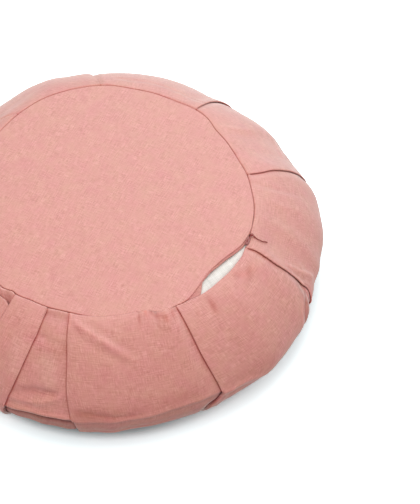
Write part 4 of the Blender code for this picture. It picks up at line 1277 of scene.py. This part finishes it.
# ------------------------------------------------------------------------------------------------------------
# Zip pull: a thin waxed cord, looped through the slider's bridge, with an enamelled bead on it and a knot
# behind the bead. Its end lies on the pleat beside the slit.
CORD_RADIUS, BEAD_RADIUS, KNOT_RADIUS = 0.00048, 0.0013, 0.00085
KNOT_LENGTH = 0.0007
CORD_STEPS, CORD_SIDES = 90, 12
CORD_TWIST, CORD_STRANDS = 5200.0, 3       # radians of twist in a metre, and strands
STRAND_MIDDLE, STRAND_RELIEF = 0.93, 0.10  # shares of the cord's radius
CORD_CLEAR = 0.0001                        # how far the cord stays above what it lies on
PULL_ROUTE = (
    # along the pull: bearing, distance from the middle, height over the cloth
    (109.7, 0.1307, 0.0007),
    (108.8, 0.1312, 0.0011),
    (108.2, 0.1322, 0.0010),
    (108.0, 0.1342, 0.0005),
    (108.2, 0.1362, 0.0001),
    (108.2, 0.1380, 0.0),
    (108.1, 0.1399, 0.0),
    (107.7, 0.1419, 0.0),
    (107.2, 0.1434, 0.0),
    (106.6, 0.1449, 0.0),
)
CLOTH_NEAR = 0.0014                        # metres round a place in which the cloth's height is looked up
BEAD_AT, KNOT_AT = 0.18, 0.31              # shares of the pull's length
BEAD_STRETCH, BEAD_CUT = 1.25, 1.12        # along the cord, and where its ends are cut flat
BEAD_RISE = 0.5                            # share of its radius by which it lies over the cord's line
CORD_RED = (0.31, 0.060, 0.052, 1.0)
FIBRE_FINENESS, FIBRES = (2400.0, 2400.0, 2400.0), (0.9, 0.55)


def top_of_cloth(bearing, radius):
    """Height of the highest cloth, or of the slider's plates, at a place near the seam."""
    here = at(bearing, radius, 0.0)
    away = np.hypot(middle_points[..., 0] - here[0], middle_points[..., 1] - here[1])
    near = middle_points[..., 2][away < CLOTH_NEAR]
    highest = near.max() + CLOTH / 2 if near.size else TOP_SEAM_HEIGHT
    off_slider = np.hypot(*(here - at(SLIDER_BEARING, SLIDER_RADIUS, 0.0))[:2])
    plates = slider_low.z + 2 * PLATE + NECK if off_slider < SLIDER_WIDTH / 2 else 0.0
    return max(float(highest), plates)


route = []
for bearing, radius, over in PULL_ROUTE:
    route.append(at(bearing, radius, top_of_cloth(bearing, radius) + CORD_RADIUS + over + CORD_CLEAR))
route = np.array(route)
route_stops = np.concatenate([[0], np.cumsum(np.linalg.norm(np.diff(route, axis=0), axis=1))])
pull_length = route_stops[-1]
spine_stops = np.linspace(0, pull_length, CORD_STEPS)
spine = np.stack([smooth_curve(route_stops, route[:, axis])(spine_stops) for axis in range(3)], 1)
ahead = np.gradient(spine, axis=0)
ahead /= np.linalg.norm(ahead, axis=1, keepdims=True)
right = np.cross(ahead, (0, 0, 1.0))
right /= np.linalg.norm(right, axis=1, keepdims=True)
above = np.cross(right, ahead)
along = np.linspace(0, 1, CORD_STEPS)
cord_points = []
for i in range(CORD_STEPS):
    knot = math.exp(-((along[i] - KNOT_AT) * pull_length / KNOT_LENGTH) ** 2)
    for j in range(CORD_SIDES):
        angle = 2 * math.pi * j / CORD_SIDES
        strand = math.cos(CORD_STRANDS * angle - CORD_TWIST * pull_length * along[i])
        radius = CORD_RADIUS * (STRAND_MIDDLE + STRAND_RELIEF * strand) + (KNOT_RADIUS - CORD_RADIUS) * knot
        aside, up = radius * math.cos(angle), radius * math.sin(angle)
        cord_points.append(spine[i] + right[i] * aside + above[i] * up)
last_ring = (CORD_STEPS - 1) * CORD_SIDES
cord_faces = [tuple(range(CORD_SIDES)), tuple(last_ring + j for j in reversed(range(CORD_SIDES)))]
for a in range(0, last_ring, CORD_SIDES):
    b = a + CORD_SIDES
    for j in range(CORD_SIDES):
        k = (j + 1) % CORD_SIDES
        cord_faces.append((a + k, a + j, b + j, b + k))

waxed, waxed_shader, waxed_place = new_finish("waxed cord", {"Roughness": 0.55, "Specular IOR Level": 0.2})
fibres = maths("MULTIPLY_ADD", noise_at(waxed_place, FIBRE_FINENESS, 2.0), *FIBRES)
waxed_colour = add_node(waxed.node_tree, "HueSaturation", {"Color": CORD_RED, "Value": fibres})
feed(waxed_shader, {"Base Color": waxed_colour.outputs["Color"]})
pull_cord = new_piece("pull_cord", cord_points, cord_faces, waxed)

bead_index = int(BEAD_AT * (CORD_STEPS - 1))
bpy.ops.mesh.primitive_uv_sphere_add(segments=28, ring_count=18, radius=BEAD_RADIUS, location=(0, 0, 0))
bead = bpy.context.object
bead.name = "pull_bead"
bpy.ops.object.mode_set(mode="EDIT")
bpy.ops.transform.resize(value=(1, 1, BEAD_STRETCH))
bpy.ops.object.mode_set(mode="OBJECT")
for vertex in bead.data.vertices:
    vertex.co.z = max(min(vertex.co.z, BEAD_RADIUS * BEAD_CUT), -BEAD_RADIUS * BEAD_CUT)
bead.data.materials.append(enamel)
bead.location = tuple(spine[bead_index] + Vector((0, 0, BEAD_RADIUS * BEAD_RISE)))
bead.rotation_euler = Vector(ahead[bead_index]).to_track_quat("Z", "Y").to_euler()
bpy.ops.object.transform_apply(location=True, rotation=True, scale=True)
bead.data.shade_smooth()
bead.select_set(False)
for part in (pull_cord, bead):
    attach(part, "root")
    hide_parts("zip_pull")

# ------------------------------------------------------------------------------------------------------------
# Floor, light and camera. The floor is white paper. The camera sees it brighter than the light that it throws
# back onto the cushion, and a painted shadow darkens it where the cushion keeps the light off it.
FLOOR_SEEN = (1.77, 2.02, 2.07, 1.0)
FLOOR_PAINTED_SHADOW = (0.53, 0.61, 0.62, 1.0)       # painted shadow, right under the cushion
EDGE_START, EDGE_END = 0.1650, 0.1780      # metres from the middle over which the painted shadow at its edge fades
EDGE_LESS, EDGE_SIDE = 0.45, (0.01, 0.11)  # how much less dark that painted shadow gets to the right, and where along x
SOFT_MIDDLE, SOFT_START, SOFT_END = (0.014, 0.0, 0.0), 0.162, 0.196     # the softer painted shadow, at the right
SOFT_SHARE, SOFT_SIDE = 0.60, (0.05, 0.21) # how dark it gets, and where along x
FLOOR_BOUNCE = (0.38, 0.38, 0.38, 1.0)
SKY_STRENGTH = 0.96
FLOOR_LOOKS = {"Roughness": 1.0, "Specular IOR Level": 0.0}
floor_finish, floor_shader, floor_place = new_finish("white floor", FLOOR_LOOKS)
floor_tree = floor_finish.node_tree


def grown(value, start, end):
    """0 up to a start, growing smoothly to 1 at an end."""
    inputs = {"Value": value, "From Min": start, "From Max": end}
    return add_node(floor_tree, "MapRange", inputs, interpolation_type="SMOOTHSTEP").outputs["Result"]


def painted_shadow_round(middle, start, end, share):
    """Painted shadow round a middle: a share of it up to the start, fading smoothly to none at the end."""
    distance = add_node(floor_tree, "VectorMath", {0: floor_place, 1: middle}, operation="DISTANCE")
    near = maths("SUBTRACT", 1.0, grown(distance.outputs["Value"], start, end))
    return maths("MULTIPLY", near, share)


floor_x = add_node(floor_tree, "SeparateXYZ", {0: floor_place}).outputs["X"]
edge_share = maths("MULTIPLY_ADD", grown(floor_x, *EDGE_SIDE), -EDGE_LESS, 1.0)
edge_painted_shadow = painted_shadow_round((0, 0, 0), EDGE_START, EDGE_END, edge_share)
soft_share = maths("MULTIPLY", grown(floor_x, *SOFT_SIDE), SOFT_SHARE)
soft_painted_shadow = painted_shadow_round(SOFT_MIDDLE, SOFT_START, SOFT_END, soft_share)
painted_shadow_share = maths("MINIMUM", maths("ADD", edge_painted_shadow, soft_painted_shadow), 1.0)
floor_seen = mixed_colour(painted_shadow_share, FLOOR_SEEN, FLOOR_PAINTED_SHADOW)
camera_ray = add_node(floor_tree, "LightPath").outputs["Is Camera Ray"]
feed(floor_shader, {"Base Color": mixed_colour(camera_ray, FLOOR_BOUNCE, floor_seen)})
bpy.ops.mesh.primitive_plane_add(size=30, location=(0, 0, 0))
floor = bpy.context.object
floor.name = "floor"
floor.data.materials.append(floor_finish)
floor.select_set(False)

world = bpy.data.worlds.new("studio")
bpy.context.scene.world = world
world.use_nodes = True
feed(world.node_tree.nodes["Background"], {"Color": (1.0, 1.0, 1.0, 1.0), "Strength": SKY_STRENGTH})
bpy.context.scene.view_settings.view_transform = "Standard"


def aim(thing, place, target):
    """Puts a light or camera in the scene at a place, looking at a target."""
    made = bpy.data.objects.new(thing.name, thing)
    made.location = place
    made.rotation_euler = (Vector(target) - Vector(place)).to_track_quat("-Z", "Y").to_euler()
    bpy.context.scene.collection.objects.link(made)
    return made


def area_light(name, place, target, size, watts):
    lamp = bpy.data.lights.new(name, "AREA")
    lamp.shape = "DISK"
    lamp.size = size
    lamp.energy = watts
    return aim(lamp, place, target)


area_light("soft box", (0.35, 0.15, 1.8), (0, 0, 0.05), size=1.6, watts=6)
gleam = area_light("gleam", (0.7, 1.3, 1.5), (0, 0, 0.1), size=2.0, watts=210)
gleam.visible_diffuse = False

CAMERA_PLACE = (0.08955, -1.16586, 1.63132)
CAMERA_TARGET = (0.0896, -0.0183, 0.06)
lens = bpy.data.cameras.new("camera")
lens.lens = 157.1
lens.sensor_width = 36
bpy.context.scene.camera = aim(lens, CAMERA_PLACE, CAMERA_TARGET)
